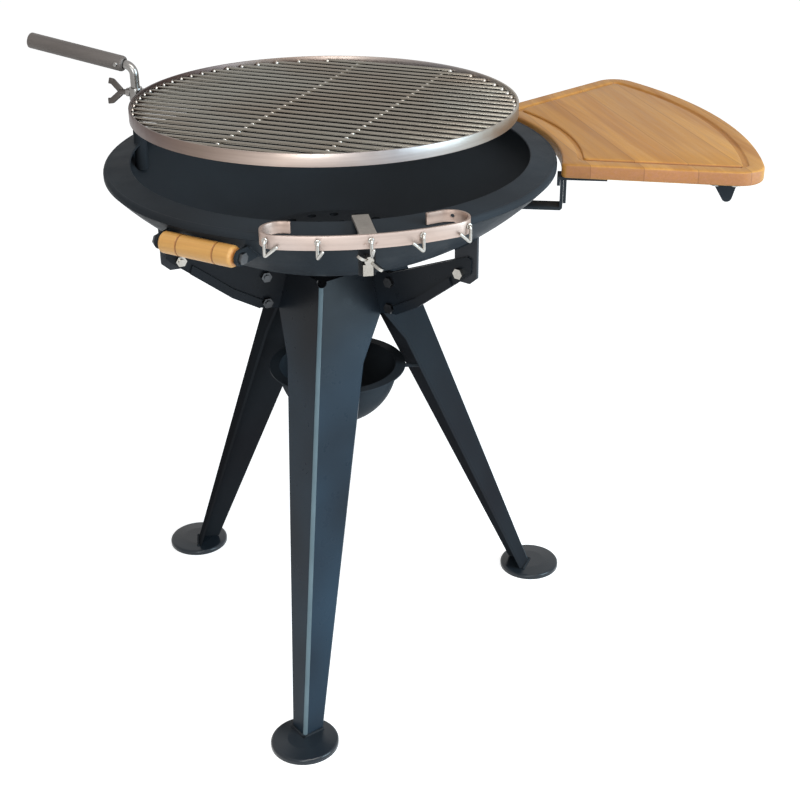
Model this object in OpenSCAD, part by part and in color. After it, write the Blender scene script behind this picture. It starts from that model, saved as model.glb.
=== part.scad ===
// Round fire bowl barbecue on a folded tripod, with a swinging grate, a tool rail and a side board.
// The origin is on the floor, under the centre of the bowl. The front leg points along -Y.
// An azimuth is measured from the front leg, and grows toward +X.

/* [Fire bowl] */
// Outer diameter of the brim
brim_d = 600; // [560:1:640]
// Height of the brim's outer edge above the floor
brim_h = 730; // [700:1:760]
// Outer radius of the dished sheet
dish_r = 406; // [390:1:430]
// Thickness of the bowl's sheet
bowl_t = 3; // [2.5:0.1:3.5]
// Width of the lip that is turned inward
lip_w = 36; // [30:1:42]
// Rise of the lip from its outer edge to its inner edge
lip_rise = 6.5; // [4:0.5:9]
// Radius of the bend between the wall and the lip
brim_bend_r = 4.8; // [4:0.1:6]
// Diameter of the ash outlet in the bottom
outlet_d = 120; // [90:1:140]

/* [Charcoal plate] */
// Diameter of the loose plate over the outlet
plate_d = 220; // [180:1:240]
// Thickness of the plate
plate_t = 5; // [3:0.5:8]
// Diameter of its holes
plate_hole_d = 13; // [8:1:15]

/* [Legs] */
// Radius of the circle on which the legs stand
foot_circle_r = 319; // [300:1:340]
// Radius of the fold at the top of a leg
fold_top_r = 99; // [90:1:110]
// Thickness of the leg's sheet
leg_t = 3; // [2.5:0.1:4]
// Width of a flange at the foot, measured level
flange_foot_w = 30; // [24:1:34]
// Growth of that width for each millimetre of height
flange_taper = 0.099; // [0.08:0.001:0.11]
// Height at which the flanges begin to flare
flare_z = 470; // [440:1:490]
// Outer radius of the fold
fold_bend_r = 6; // [4:0.5:8]
// Radius of the relief notch at the top of the fold
fold_notch_r = 6.5; // [4:0.5:8]
// Gap between the bowl's bottom and the top of the legs
leg_top_gap = 3; // [2:0.5:6]

/* [Arms under the bowl] */
// Height of the arm's lower corner at its root
arm_root_z = 527; // [515:1:535]
// Gap between the bowl and the arm's top edge
arm_gap = 17; // [12:1:20]
// Radius at which an arm ends
arm_end_r = 234; // [226:1:240]
// Depth of the arm at its end
arm_end_depth = 32; // [28:1:36]
// Height of the folded hem along the lower edge
hem_h = 12; // [8:1:14]
// Thickness of the bowl's tabs
tab_t = 4; // [3:0.5:6]

/* [Bolts of the stand] */
// Diameter of the bolts
bolt_d = 8; // [6:1:10]
// Distance of the tip bolt from the arm's end
tip_bolt_in = 18; // [14:1:22]
// Radius of the root bolts from the centre
root_bolt_r = 101; // [98:1:105]

/* [Feet] */
// Diameter of a foot plate
foot_d = 93; // [80:1:110]
// Height of a foot plate
foot_h = 10; // [7:1:14]

/* [Ash pot] */
// Radius of the pot's wall at the rim
pot_r = 85; // [80:1:88]
// Height of the pot's rim above the floor
pot_z = 424; // [400:1:440]
// Depth of the pot
pot_depth = 70; // [55:1:90]
// Thickness of the pot's sheet
pot_t = 2; // [1.5:0.1:3]
// Width of the pot's flange
pot_flange = 12; // [8:1:14]
// Diameter of the pins that carry the pot
pin_d = 6; // [5:0.5:8]

/* [Cooking grate] */
// Outer diameter of the ring
ring_d = 504; // [460:1:520]
// Height of the ring's top edge above the floor
ring_top = 814; // [806:1:820]
// Height of the ring's band
ring_h = 20; // [16:1:25]
// Thickness of the ring's band
ring_t = 3; // [2:0.5:4]
// Diameter of the rods
rod_d = 5.5; // [4:0.5:7]
// Distance from rod to rod
rod_pitch = 19; // [16:0.5:22]
// Distance of the rods' tops below the ring's top edge
rod_drop = 3; // [2:0.5:5]
// Diameter of the two cross bars
cross_d = 6; // [5:0.5:8]
// Direction of the rods, counted from the side
rod_turn = -12.9; // [-20:0.1:20]

/* [Swing post] */
// Azimuth of the post
post_az = -93; // [-96:1:-90]
// Gap between the ring and the post's middle
post_gap = 15; // [13:1:18]
// Diameter of the post
post_d = 10; // [8:0.5:12]
// Height of the handle's bend above the floor
post_top = 846; // [840:1:860]
// Radius of the post's bend, along its middle
post_bend_r = 13; // [10:1:18]
// Heading of the handle
handle_az = -99; // [-110:1:-90]
// Rise of the handle
handle_rise = 8.3; // [0:0.1:15]
// Running clearance around the post
post_clear = 0.05; // [0.02:0.01:0.1]
// Wall of the socket and of the sleeve
sleeve_wall = 4; // [3:0.5:5]
// Height of the sleeve on the ring
sleeve_h = 20; // [16:1:24]

/* [Grip of the post] */
// Length of the grip tube
grip_l = 130; // [100:1:150]
// Diameter of the grip tube
grip_d = 19.5; // [18:0.5:24]
// Distance of the grip from the post
grip_start = 17; // [15:1:30]

/* [Wing screws] */
// Diameter of a wing screw
wing_d = 6; // [5:0.5:8]
// Span of the wings
wing_span = 36; // [28:1:40]
// Thickness of the wings
wing_t = 3.5; // [2.5:0.5:5]

/* [Tool rail] */
// Azimuth of the rail's middle
rail_az = 18; // [14:1:22]
// Outer radius of the front band
rail_r = 341; // [336:1:350]
// Height of the band's top edge above the floor
rail_top = 748; // [742:1:752]
// Height of the band
rail_h = 17; // [14:1:20]
// Thickness of the band
rail_t = 3; // [2:0.5:4]
// Half of the angle that the front band covers
rail_half = 19; // [17:0.5:21]
// Length of the returned ends
rail_return = 28; // [20:1:34]
// Width of the bracket on the brim
bracket_w = 20; // [16:1:24]
// Thickness of the bracket
bracket_t = 4; // [3:0.5:5]
// Height of the wing screw above the floor
rail_screw_z = 709; // [706:1:712]
// Height of the square-headed screw above the floor
square_screw_z = 694; // [690:1:697]

/* [Hooks] */
// Number of hooks
hooks = 5; // [3:2:7]
// Angle between two hooks
hook_step = 10.2; // [9:0.1:10.5]
// Diameter of the wire
wire_d = 4; // [3:0.5:4.5]
// Drop of a hook below its hole
hook_drop = 19; // [15:1:24]
// Sideways length of a hook
hook_reach = 15; // [10:1:18]
// Clearance of the wire in its hole
hook_clear = 0.3; // [0.2:0.05:0.5]

/* [Carry handles] */
// Azimuth of the front handle
carry_az = -21.4; // [-24:0.1:-20]
// Height of a handle's axis above the floor
carry_z = 702; // [696:1:706]
// Distance of a handle's axis from the bowl's centre
carry_r = 298; // [296:1:304]
// Length of the wooden grip
carry_l = 106; // [90:1:120]
// Diameter of the wooden grip
carry_d = 27; // [22:1:30]
// Diameter of the rod inside it
carry_rod_d = 8; // [6:1:10]
// Thickness of the lugs that hold it
lug_t = 4; // [3:0.5:6]

/* [Side board] */
// Azimuth of the board's near edge
board_az = 88; // [86:0.5:90]
// Angle that the board covers
board_angle = 51.5; // [45:0.5:55]
// Inner radius of the board
board_in_r = 306; // [304:1:310]
// Outer radius of the board
board_out_r = 567; // [540:1:580]
// Height of the board's top above the floor
board_top = 735; // [732:1:738]
// Thickness of the board
board_t = 19; // [16:0.5:22]
// Distance of the juice groove from the edge
groove_in = 20; // [16:1:28]
// Width of the juice groove
groove_w = 9; // [6:1:12]
// Depth of the juice groove
groove_depth = 3; // [2:0.5:5]
// Radius of the outer corners
corner_r = 34; // [20:1:40]
// Width of the flat bars that carry the board
strap_w = 25; // [20:1:30]
// Thickness of those bars
strap_t = 4; // [3:0.5:5]
// Clearance between the board's hooks and the bowl's brackets
hang_clear = 0.3; // [0.2:0.1:0.5]
// Clearance between the brim and the board's hooks
lift_clear = 0.7; // [0.5:0.1:1]

/* [Hidden] */
$fn = 96;

steel = [0.16, 0.18, 0.20];
zinc = [0.72, 0.72, 0.70];
stainless = [0.75, 0.70, 0.64];
beech = [0.80, 0.60, 0.36];

brim_r = brim_d / 2;
post_r = ring_d / 2 + post_gap;
tip_bolt_r = arm_end_r - tip_bolt_in;
wall_edge_z = brim_h - brim_bend_r - 0.8;
dish_c = wall_edge_z + sqrt(pow(dish_r, 2) - pow(brim_r, 2));
dish_in_r = dish_r - bowl_t;
outlet_r = outlet_d / 2;
crest_r = brim_r - lip_w + bowl_t / 2;
crest_z = brim_h + 1 + lip_rise;
lip_out_z = wall_edge_z + 2 * brim_bend_r - 1;

leg_top_z = dish_c - dish_r - leg_top_gap;
splay = atan((foot_circle_r - fold_top_r) / (leg_top_z - foot_h));
half_v = atan(cos(splay));
flange_k = cos(45) * tan(splay);
flange_h = sqrt(1 + pow(flange_k, 2));
arm_turn = 60;
ear_in = tab_t / 2;
ear_out = ear_in + leg_t;
ear_root = ear_in + leg_t * sqrt(2) * sin(arm_turn) + 0.3;
bolt_hole_d = bolt_d + 0.4;
root_bolt_z1 = arm_root_z + 12;
root_bolt_z2 = leg_top_z - 12;
tip_bolt_z = arm_top(tip_bolt_r) - 19;
rod_count = 2 * floor((ring_d / 2 - 10) / rod_pitch) + 1;
ring_in_r = ring_d / 2 - ring_t;
rod_z = ring_top - rod_drop - rod_d / 2;
cross_z = rod_z - rod_d / 2 - cross_d / 2;
cross_at = [-88, 47];
sleeve_r = post_d / 2 + sleeve_wall;
post_bore_r = post_d / 2 + post_clear;
screw_z = ring_top - ring_h / 2 + 1;
sleeve_z = screw_z - sleeve_h / 2;
socket_top = crest_z + 3;
socket_bottom = crest_z - 38;
post_bottom = socket_bottom + 4;
rail_in_r = rail_r - rail_t;
return_r = brim_r - 6;
rail_bottom = rail_top - rail_h;
hole_z = rail_top - 7;
pin_z = pot_z - pot_t - pin_d / 2 - 0.05;
board_bottom = board_top - board_t;
strap_z = board_bottom - strap_t;
upright_r = brim_r + lift_clear + strap_t + hang_clear;
upright_top = strap_z - hang_clear;
bracket_z = strap_z - 38;
strap_az = [board_az + 3.2, board_az + board_angle - 3.2];

// Height of the bowl's outer surface at a distance from the centre
function dish_z(r) = dish_c - sqrt(pow(dish_r, 2) - pow(r, 2));
// Distance of the bowl's outer surface from the centre at a height
function dish_at(z) = sqrt(pow(dish_r, 2) - pow(dish_c - z, 2));
// Height of the lip's top surface at a distance from the centre
function lip_z(r) = crest_z - (r - crest_r) * (crest_z - lip_out_z) / (brim_r - brim_bend_r - crest_r);
// Points along an arc
function arc(c, r, a0, a1, n = 8) = [for (i = [0:n]) c + r * [cos(a0 + (a1 - a0) * i / n), sin(a0 + (a1 - a0) * i / n)]];
function flip(list) = [for (i = [len(list) - 1:-1:0]) list[i]];
// Distance of the leg's fold from the centre at a height
function fold_r(z) = foot_circle_r - (z - foot_h) * tan(splay);
// Level width of a flange between the fold and the arm's plane
function root_w(z, c) = (fold_r(z) * sin(arm_turn) - c) / sin(arm_turn + half_v);
// Distance from the centre at which a flange meets the arm
function root_r(z, c) = fold_r(z) * cos(arm_turn) - root_w(z, c) * cos(arm_turn + half_v);
// A point of the flange in its own plane, from a height and a level width
function on_flange(z, w) = [w / flange_h, (z - foot_h) / cos(splay) + flange_k * w / flange_h];
function arm_top(r) = dish_z(r) - arm_gap;

// Turns a piece that is drawn along +X to an azimuth
module at(azimuth) rotate([0, 0, azimuth - 90]) children();
// Copies a piece for each of the three legs
module each_leg() for (i = [0:2]) at(120 * i) children();
module each_arm() for (i = [0:2]) at(60 + 120 * i) children();
module rod(d, l) cylinder(d = d, h = l);
module along_x() rotate([0, 90, 0]) children();
module across_y(l) rotate([90, 0, 0]) translate([0, 0, -l / 2]) children();
module hex(d, h) cylinder(d = d / cos(30), h = h, $fn = 6);
// A wing screw along -X, with its hub at the origin
module wing_screw(reach) {
    along_x() rod(2 * wing_d - 1, 9);
    translate([-reach, 0, 0]) along_x() rod(wing_d, reach + 2);
    for (s = [0, 180]) rotate([s, 0, 0]) rotate([90, 0, 0]) translate([0, 0, -wing_t / 2]) linear_extrude(wing_t)
        polygon(concat([[0.5, 2], [8.5, 2]], arc([13, wing_span / 2 - 5], 5, -25, 120, 6), [[2, 9]]));
}

module fire_bowl() color(steel) difference() {
    union() {
        difference() {
            translate([0, 0, dish_c]) sphere(dish_r);
            translate([0, 0, dish_c]) sphere(dish_in_r);
            translate([0, 0, wall_edge_z + dish_r]) cube(2 * dish_r + 2, center = true);
        }
        brim();
    }
    translate([0, 0, dish_c - dish_r - 1]) rod(outlet_d, 60);
    at(post_az) translate([post_r, 0, wall_edge_z]) rod(2 * sleeve_r, 60);
}
// The bowl's outer ball, fine enough for what is cut to lie on it
module dish_ball() translate([0, 0, dish_c]) sphere(dish_r, $fn = 300);
// The turned lip, with round edges
module brim() rotate_extrude() {
    polygon(concat(
        [[brim_r - 5, wall_edge_z - 1.5], [brim_r - 2, wall_edge_z - 1.5], [brim_r, wall_edge_z]],
        arc([brim_r - brim_bend_r, wall_edge_z + brim_bend_r - 1], brim_bend_r, 0, 100, 8),
        arc([crest_r, crest_z - bowl_t / 2], bowl_t / 2, 80, 260, 8),
        arc([brim_r - brim_bend_r, wall_edge_z + brim_bend_r - 1], brim_bend_r - bowl_t, 100, 0, 4)));
}
module bowl_tabs() color(steel) difference() {
    each_arm() translate([0, tab_t / 2, 0]) rotate([90, 0, 0]) linear_extrude(tab_t) difference() {
        polygon([[tip_bolt_r - 10, tip_bolt_z - 13], [tip_bolt_r + 14, tip_bolt_z - 13], [arm_end_r + 7, tip_bolt_z - 3],
                 [arm_end_r + 7, dish_z(arm_end_r + 7) + 5], [tip_bolt_r - 10, dish_z(tip_bolt_r - 10) + 5]]);
        translate([tip_bolt_r, tip_bolt_z]) circle(d = bolt_hole_d);
    }
    dish_ball();
}

seat_z = dish_c - sqrt(pow(dish_in_r, 2) - pow(plate_d / 2 + 0.15, 2));
knob_rod_d = 8;
module charcoal_plate() color(steel) difference() {
    translate([0, 0, seat_z]) rod(plate_d, plate_t);
    for (ring = [1:3]) for (i = [0:6 * ring - 1]) rotate([0, 0, i * 60 / ring])
        translate([ring * plate_d * 0.14, 0, seat_z - 1]) rod(plate_hole_d, plate_t + 2);
    translate([0, 0, seat_z - 1]) rod(knob_rod_d, plate_t + 2);
}
module plate_knob() color(steel) translate([0, 0, seat_z]) {
    translate([0, 0, -3]) rod(knob_rod_d, plate_t + 12);
    translate([0, 0, -6]) hex(13, 6);
    translate([0, 0, plate_t]) rod(18, 3);
    translate([0, 0, plate_t + 12]) sphere(d = 20);
}

// One folded leg at azimuth 0, with an ear on each side
module leg() color(steel) difference() {
    union() {
        intersection() {
            leg_frame() intersection() {
                folded_sheet();
                leg_trim();
            }
            translate([0, 0, foot_h]) rod(2 * foot_circle_r + 100, leg_top_z - foot_h);
        }
        for (s = [0, 1]) mirror([0, s, 0]) rotate([0, 0, arm_turn]) ear();
    }
    translate([fold_r(leg_top_z), 0, leg_top_z]) rotate([0, -splay, 0]) translate([-30, 0, 0]) along_x() rod(2 * fold_notch_r, 60);
}
// From the foot up along the fold, with +X outward
module leg_frame() translate([foot_circle_r, 0, foot_h]) rotate([0, -splay, 0]) children();
// The sheet with its right-angled fold, before it is cut to shape
module folded_sheet() translate([0, 0, -30]) linear_extrude(leg_top_z + 120) polygon(concat(
    [flange_end(-1, 0)], arc([-fold_bend_r * sqrt(2), 0], fold_bend_r, -45, 45, 10), [flange_end(1, 0), flange_end(1, leg_t)],
    arc([-fold_bend_r * sqrt(2), 0], fold_bend_r - leg_t, 45, -45, 10), [flange_end(-1, leg_t)]));
function flange_end(s, inside) = 140 * [cos(135), s * sin(135)] + inside * [-cos(45), -s * sin(45)];
// The leg's outline as seen along +X: two flanges that taper down and flare to the arms
module leg_trim() translate([-200, 0, 0]) rotate([90, 0, 90]) linear_extrude(260) {
    half = [on_flange(foot_h - 12, flange_foot_w), on_flange(foot_h, flange_foot_w), on_flange(flare_z, flange_foot_w + flange_taper * flare_z),
            on_flange(arm_root_z, root_w(arm_root_z, ear_root)), on_flange(leg_top_z + 12, root_w(leg_top_z + 12, ear_root))];
    right = [for (q = half) [q[0] / sqrt(2), q[1]]];
    polygon(concat(right, [for (q = flip(right)) [-q[0], q[1]]]));
}
// The ear is drawn in the arm's plane, on the side of its own leg
function arm_lower() = [[root_r(arm_root_z, ear_out) - leg_t / 2, arm_root_z], [112, arm_root_z + 5],
    [150, arm_top(150) - 50], [arm_end_r - 4, arm_top(arm_end_r) - arm_end_depth]];
module ear() translate([0, -ear_in, 0]) rotate([90, 0, 0]) difference() {
    union() {
        linear_extrude(leg_t) polygon(concat(arm_lower(),
            [[arm_end_r, arm_top(arm_end_r) - arm_end_depth + 5], [arm_end_r, arm_top(arm_end_r) - 9], [arm_end_r - 6, arm_top(arm_end_r) - 6],
             [root_r(leg_top_z, ear_out) + 32, leg_top_z], [root_r(leg_top_z, ear_out) - leg_t / 2, leg_top_z]]));
        translate([0, 0, leg_t]) linear_extrude(leg_t) hem();
    }
    for (b = [[root_bolt_r, root_bolt_z1], [root_bolt_r, root_bolt_z2], [tip_bolt_r, tip_bolt_z]])
        translate([b[0], b[1], -1]) rod(bolt_hole_d, 3 * leg_t + 2);
}
module hem() {
    a = arm_lower()[2];
    b = arm_lower()[3];
    end_r = tip_bolt_r - bolt_d - 3;
    lower = [arm_lower()[1], a, a + (b - a) * (end_r - a[0]) / (b[0] - a[0])];
    polygon(concat(lower, [for (q = flip(lower)) q + [-4, hem_h]]));
}
module foot() color(steel) rotate_extrude() polygon(concat([[0, 0], [foot_d / 2 - 1, 0], [foot_d / 2, 1]],
    arc([foot_d / 2 - 4, foot_h - 5.5], 4, 0, 80, 5), [[foot_d / 4, foot_h], [0, foot_h]]));

module stand_bolt() {
    translate([0, 0, -ear_out - 5.3]) hex(13, 5.3);
    translate([0, 0, -ear_out]) rod(bolt_d, 2 * ear_out + 9);
}
module root_places() each_arm() for (z = [root_bolt_z1, root_bolt_z2]) translate([root_bolt_r, 0, z]) rotate([-90, 0, 0]) children();
module tip_places() each_arm() translate([tip_bolt_r, 0, tip_bolt_z]) rotate([-90, 0, 0]) children();
module stand_nut() translate([0, 0, ear_out]) difference() {
    hex(13, 6.5);
    translate([0, 0, -1]) rod(bolt_d, 9);
}
module stand_spacer() translate([0, 0, -tab_t / 2]) difference() {
    rod(16, tab_t);
    translate([0, 0, -1]) rod(bolt_d, tab_t + 2);
}

module ash_pot() color(steel) difference() {
    union() {
        translate([0, 0, pot_z - pot_t]) rod(2 * (pot_r + pot_flange), pot_t);
        intersection() {
            translate([0, 0, pot_z]) sphere(pot_r);
            translate([0, 0, pot_z - pot_depth]) rod(2 * pot_r + 2, pot_depth);
        }
    }
    intersection() {
        translate([0, 0, pot_z]) sphere(pot_r - pot_t);
        translate([0, 0, pot_z - pot_depth + pot_t]) rod(2 * pot_r + 2, pot_depth);
    }
}
pin_turn = 20;
module pot_pins() color(steel) each_leg() rotate([0, 0, -pin_turn])
    translate([pot_r + 5, 0, pin_z]) along_x() rod(pin_d, pin_out_r() - pot_r - 5);
// Distance at which a pin's square end meets the inside of its flange
function pin_out_r() = (sin(half_v) * fold_r(pin_z) - leg_t * 1.04) / sin(half_v + pin_turn)
    - pin_d / 2 / tan(half_v + pin_turn) - 0.1;

module grate_ring() color(stainless) translate([0, 0, ring_top - ring_h]) difference() {
    rod(ring_d, ring_h);
    translate([0, 0, -1]) rod(2 * ring_in_r, ring_h + 2);
}
module chords(offsets, d, z) for (o = offsets) {
    half = sqrt(pow(ring_in_r, 2) - pow(abs(o) + d / 2, 2));
    translate([-half, o, z]) along_x() rod(d, 2 * half);
}
module grate_rods() color(stainless) rotate([0, 0, rod_turn])
    chords([for (i = [0:rod_count - 1]) (i - (rod_count - 1) / 2) * rod_pitch], rod_d, rod_z);
module grate_cross_bars() color(stainless) rotate([0, 0, rod_turn + 90]) chords(cross_at, cross_d, cross_z);
module to_post() at(post_az) translate([post_r, 0, 0]) rotate([0, 0, handle_az - post_az]) children();
module grate_sleeve() color(stainless) difference() {
    union() {
        to_post() translate([0, 0, sleeve_z]) rod(2 * sleeve_r, sleeve_h);
        at(post_az) translate([ring_d / 2 - 0.5, -6, sleeve_z + 2]) cube([post_gap, 12, sleeve_h - 4]);
        to_post() translate([0, 0, screw_z]) along_x() rod(14, sleeve_r + 5);
    }
    translate([0, 0, 0]) rod(ring_d, 2 * ring_top);
    to_post() translate([0, 0, sleeve_z - 1]) rod(2 * post_bore_r, sleeve_h + 2);
    to_post() translate([0, 0, screw_z]) along_x() rod(wing_d + 0.1, 40);
}
module grate_wing_screw() color(zinc) to_post() translate([sleeve_r + 9, 0, screw_z]) rotate([-20, 0, 0]) wing_screw(sleeve_r + 9 - post_bore_r - 0.3);
module swing_post() color(stainless) to_post() difference() {
    union() {
        translate([0, 0, post_bottom + 0.1]) rod(post_d, post_top - post_bend_r - post_bottom - 0.1);
        translate([post_bend_r, 0, post_top - post_bend_r]) rotate([90, 0, 0])
            rotate_extrude(start = 90 + handle_rise, angle = 90 - handle_rise) translate([post_bend_r, 0]) circle(d = post_d);
        handle_line() rod(post_d, grip_start + grip_l - 20 - post_bend_r);
        handle_line() translate([0, 0, -1.5]) rod(post_d + 2, 3);
    }
    handle_line() translate([0, 0, rivet_at]) rotate([90, 0, 0]) translate([0, 0, -20]) rod(rivet_d, 40);
}
rivet_d = 5;
rivet_at = grip_start + 8 - post_bend_r;
// The straight handle, along +Z from the end of the bend
module handle_line() translate([post_bend_r - post_bend_r * sin(handle_rise), 0, post_top - post_bend_r + post_bend_r * cos(handle_rise)])
    rotate([0, 90 - handle_rise, 0]) children();
module post_socket() color(steel) difference() {
    intersection() {
        at(post_az) translate([post_r, 0, socket_bottom]) rod(2 * sleeve_r, socket_top - socket_bottom);
        translate([0, 0, dish_c]) sphere(dish_in_r);
    }
    at(post_az) translate([post_r, 0, post_bottom]) rod(2 * post_bore_r, 60);
}
module grip_tube() color([0.45, 0.42, 0.41]) to_post() handle_line() translate([0, 0, grip_start - post_bend_r]) difference() {
    union() {
        translate([0, 0, 3]) rod(grip_d, grip_l - 6);
        translate([0, 0, 3]) rotate([180, 0, 0]) cylinder(d1 = grip_d, d2 = grip_d - 6, h = 3);
        translate([0, 0, grip_l - 3]) cylinder(d1 = grip_d, d2 = grip_d - 5, h = 3);
    }
    translate([0, 0, -1]) rod(post_d, grip_l - 20 + 1);
    translate([0, 0, 8]) rotate([90, 0, 0]) {
        translate([0, 0, -20]) rod(rivet_d, 40);
        for (s = [0, 1]) mirror([0, 0, s]) translate([0, 0, grip_d / 2 - 0.35]) rod(9.3, 3);
    }
}
module grip_rivet() color(zinc) to_post() handle_line() translate([0, 0, rivet_at]) rotate([90, 0, 0]) {
    translate([0, 0, -grip_d / 2 - 1]) rod(rivet_d, grip_d + 2);
    for (s = [0, 1]) mirror([0, 0, s]) translate([0, 0, grip_d / 2 - 0.3]) intersection() {
        rod(9, 2);
        translate([0, 0, -5]) sphere(7);
    }
}

// The middle line of the band seen from above: half of the front arc, a round end and a return
function band_half() = let(mid = (rail_r - rail_t / 2 + return_r) / 2, bend = (rail_r - rail_t / 2 - return_r) / 2,
    turn = rail_return / return_r * 180 / PI, c = mid * [cos(rail_half), sin(rail_half)])
    concat([for (i = [0:16]) let(a = rail_half * i / 16) [rail_r - rail_t / 2, 0, a, 0]],
        [for (i = [1:12]) [bend, 1, rail_half + 180 * i / 12, 0]],
        [for (i = [1:5]) let(a = rail_half - turn * i / 5) [return_r, 2, a, 0]]);
// A point of that line, moved outward by half of the band's thickness
function band_point(q, side) = let(mid = (rail_r - rail_t / 2 + return_r) / 2, o = side * rail_t / 2)
    q[1] == 1 ? mid * [cos(rail_half), sin(rail_half)] + (q[0] + o) * [cos(q[2]), sin(q[2])]
              : (q[0] + (q[1] == 0 ? o : -o)) * [cos(q[2]), sin(q[2])];
module band(h) linear_extrude(h) {
    half = concat([for (q = band_half()) band_point(q, 1)], [for (q = flip(band_half())) band_point(q, -1)]);
    polygon(concat([for (q = flip(half)) [q[0], -q[1]]], half));
}
module tool_rail() color(stainless) at(rail_az) difference() {
    translate([0, 0, rail_bottom]) band(rail_h);
    rotate_extrude() polygon([[brim_r - lip_w, rail_bottom - 40], [brim_r + 1, rail_bottom - 40], [brim_r + 1, lip_z(brim_r) + 0.3], [brim_r - lip_w, lip_z(brim_r - lip_w) + 0.3]]);
    for (i = [0:hooks - 1]) rotate([0, 0, (i - (hooks - 1) / 2) * hook_step]) translate([rail_in_r - 15, 0, hole_z]) along_x() rod(wire_d + 2 * hook_clear, 30);
    rotate([0, 0, rail_half - 1.5]) translate([return_r - 10, 0, rail_top - 7]) along_x() rod(5, 20);
    for (y = rivet_at_y) translate([rail_in_r - 10, y, rivet_z]) along_x() rod(3, 20);
}
bracket_z0 = crest_z + 0.05;
rivet_z = bracket_z0 - 1.5;
rivet_at_y = [-7, 7];
// Room for the middle hook in the bracket
hook_slot = 8.4;
bracket_in_r = brim_r - lip_w - 7;
leg_in_r = brim_r + 4;
module rail_bracket() color(steel) at(rail_az) translate([0, bracket_w / 2, 0]) rotate([90, 0, 0]) difference() {
    linear_extrude(bracket_w) polygon([
        [bracket_in_r, bracket_z0 - 12], [bracket_in_r + bracket_t, bracket_z0 - 12], [bracket_in_r + bracket_t, bracket_z0],
        [leg_in_r, bracket_z0], [leg_in_r, square_screw_z - 9], [leg_in_r + bracket_t, square_screw_z - 9],
        [leg_in_r + bracket_t, bracket_z0], [rail_in_r - bracket_t - 0.1, bracket_z0], [rail_in_r - bracket_t - 0.1, bracket_z0 - 6], [rail_in_r - 0.1, bracket_z0 - 6],
        [rail_in_r - 0.1, bracket_z0 + bracket_t], [bracket_in_r, bracket_z0 + bracket_t]]);
    for (z = [rail_screw_z, square_screw_z]) translate([leg_in_r - 5, z, bracket_w / 2]) along_x() rod(wing_d + 0.1, 20);
    for (y = rivet_at_y) translate([rail_in_r - 10, rivet_z, bracket_w / 2 + y]) along_x() rod(3, 20);
    translate([rail_r - hook_back - 1, rivet_z + 1, bracket_w / 2 - hook_slot / 2]) cube([hook_back + 5, bracket_t + 10, hook_slot]);
}
module rail_rivets() color(zinc) at(rail_az) for (y = rivet_at_y) translate([rail_in_r - bracket_t - 1, y, rivet_z]) along_x() rod(3, rail_t + bracket_t + 2);
// Where the flat tip of a screw meets the bowl
function tip_r(z) = dish_at(z + wing_d / 2) + 0.3;
module rail_wing_screw() color(zinc) at(rail_az) translate([leg_in_r + bracket_t + 8, 0, rail_screw_z]) rotate([55, 0, 0])
    wing_screw(leg_in_r + bracket_t + 8 - tip_r(rail_screw_z));
module square_screw() color(zinc) at(rail_az) {
    translate([tip_r(square_screw_z), 0, square_screw_z]) along_x() rod(wing_d, leg_in_r + bracket_t + 1 - tip_r(square_screw_z));
    translate([leg_in_r + bracket_t, -6, square_screw_z - 7]) cube([7, 12, 14]);
}

hook_back = rail_t + wire_d + 5.5;
// Balls where the wire turns and ends
wire_ball_d = wire_d + 0.6;
hook_open = 48;
// Heading of each hook's tail, counted from the band's own outward direction
hook_heading = [80, 25, 0, -70, -80];
module hook(i) color(zinc) at(rail_az + (i - (hooks - 1) / 2) * hook_step) translate([rail_r + wire_d / 2 + 1.2, 0, hole_z]) {
    translate([-hook_back, 0, 0]) along_x() rod(wire_d, hook_back);
    translate([-hook_back, 0, 0]) sphere(d = wire_d + 2.4);
    sphere(d = wire_ball_d);
    rotate([0, 0, hook_heading[i]]) {
        translate([0, 0, -hook_drop]) rod(wire_d, hook_drop);
        translate([0, 0, -hook_drop]) sphere(d = wire_ball_d);
        translate([0, 0, -hook_drop]) rotate([0, hook_open, 0]) rod(wire_d, hook_reach / sin(hook_open));
        translate([hook_reach, 0, -hook_drop + hook_reach / tan(hook_open)]) sphere(d = wire_ball_d);
    }
}

lug_w = 20;
module both_handles() for (s = [0, 180]) at(carry_az + s) children();
module handle_lugs() color(steel) difference() {
    both_handles() for (s = [-1, 1]) translate([carry_r, s * (carry_l / 2 + 3 + lug_t / 2), carry_z])
        across_y(lug_t) linear_extrude(lug_t) polygon(concat(arc([0, 0], lug_w / 2, -90, 90, 10), [[-40, lug_w / 2], [-40, -lug_w / 2]]));
    dish_ball();
    both_handles() translate([carry_r, 0, carry_z]) across_y(160) rod(carry_rod_d + 0.2, 160);
}
module handle_rods() color(zinc) both_handles() translate([carry_r, 0, carry_z]) {
    across_y(carry_l + 2 * lug_t + 12) rod(carry_rod_d, carry_l + 2 * lug_t + 12);
    for (s = [-1, 1]) translate([0, s * (carry_l / 2 + 3 + lug_t + 3), 0]) across_y(4) hex(13, 4);
}
module wooden_grip() color(beech) translate([carry_r, 0, carry_z]) rotate([90, 0, 0]) difference() {
    rotate_extrude() polygon(concat([[0, -carry_l / 2], [carry_d / 2 - 6, -carry_l / 2]], arc([carry_d / 2 - 6, -carry_l / 2 + 6], 6, -80, -10, 5),
        grip_groove(-carry_l / 4), grip_groove(carry_l / 4), arc([carry_d / 2 - 3, carry_l / 2 - 3], 3, 0, 90, 5), [[0, carry_l / 2]]));
    translate([0, 0, -carry_l]) rod(carry_rod_d + 0.1, 2 * carry_l);
}
function grip_groove(y) = [[carry_d / 2, y - 1.5], [carry_d / 2 - 1.2, y - 0.6], [carry_d / 2 - 1.2, y + 0.6], [carry_d / 2, y + 1.5]];

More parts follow.
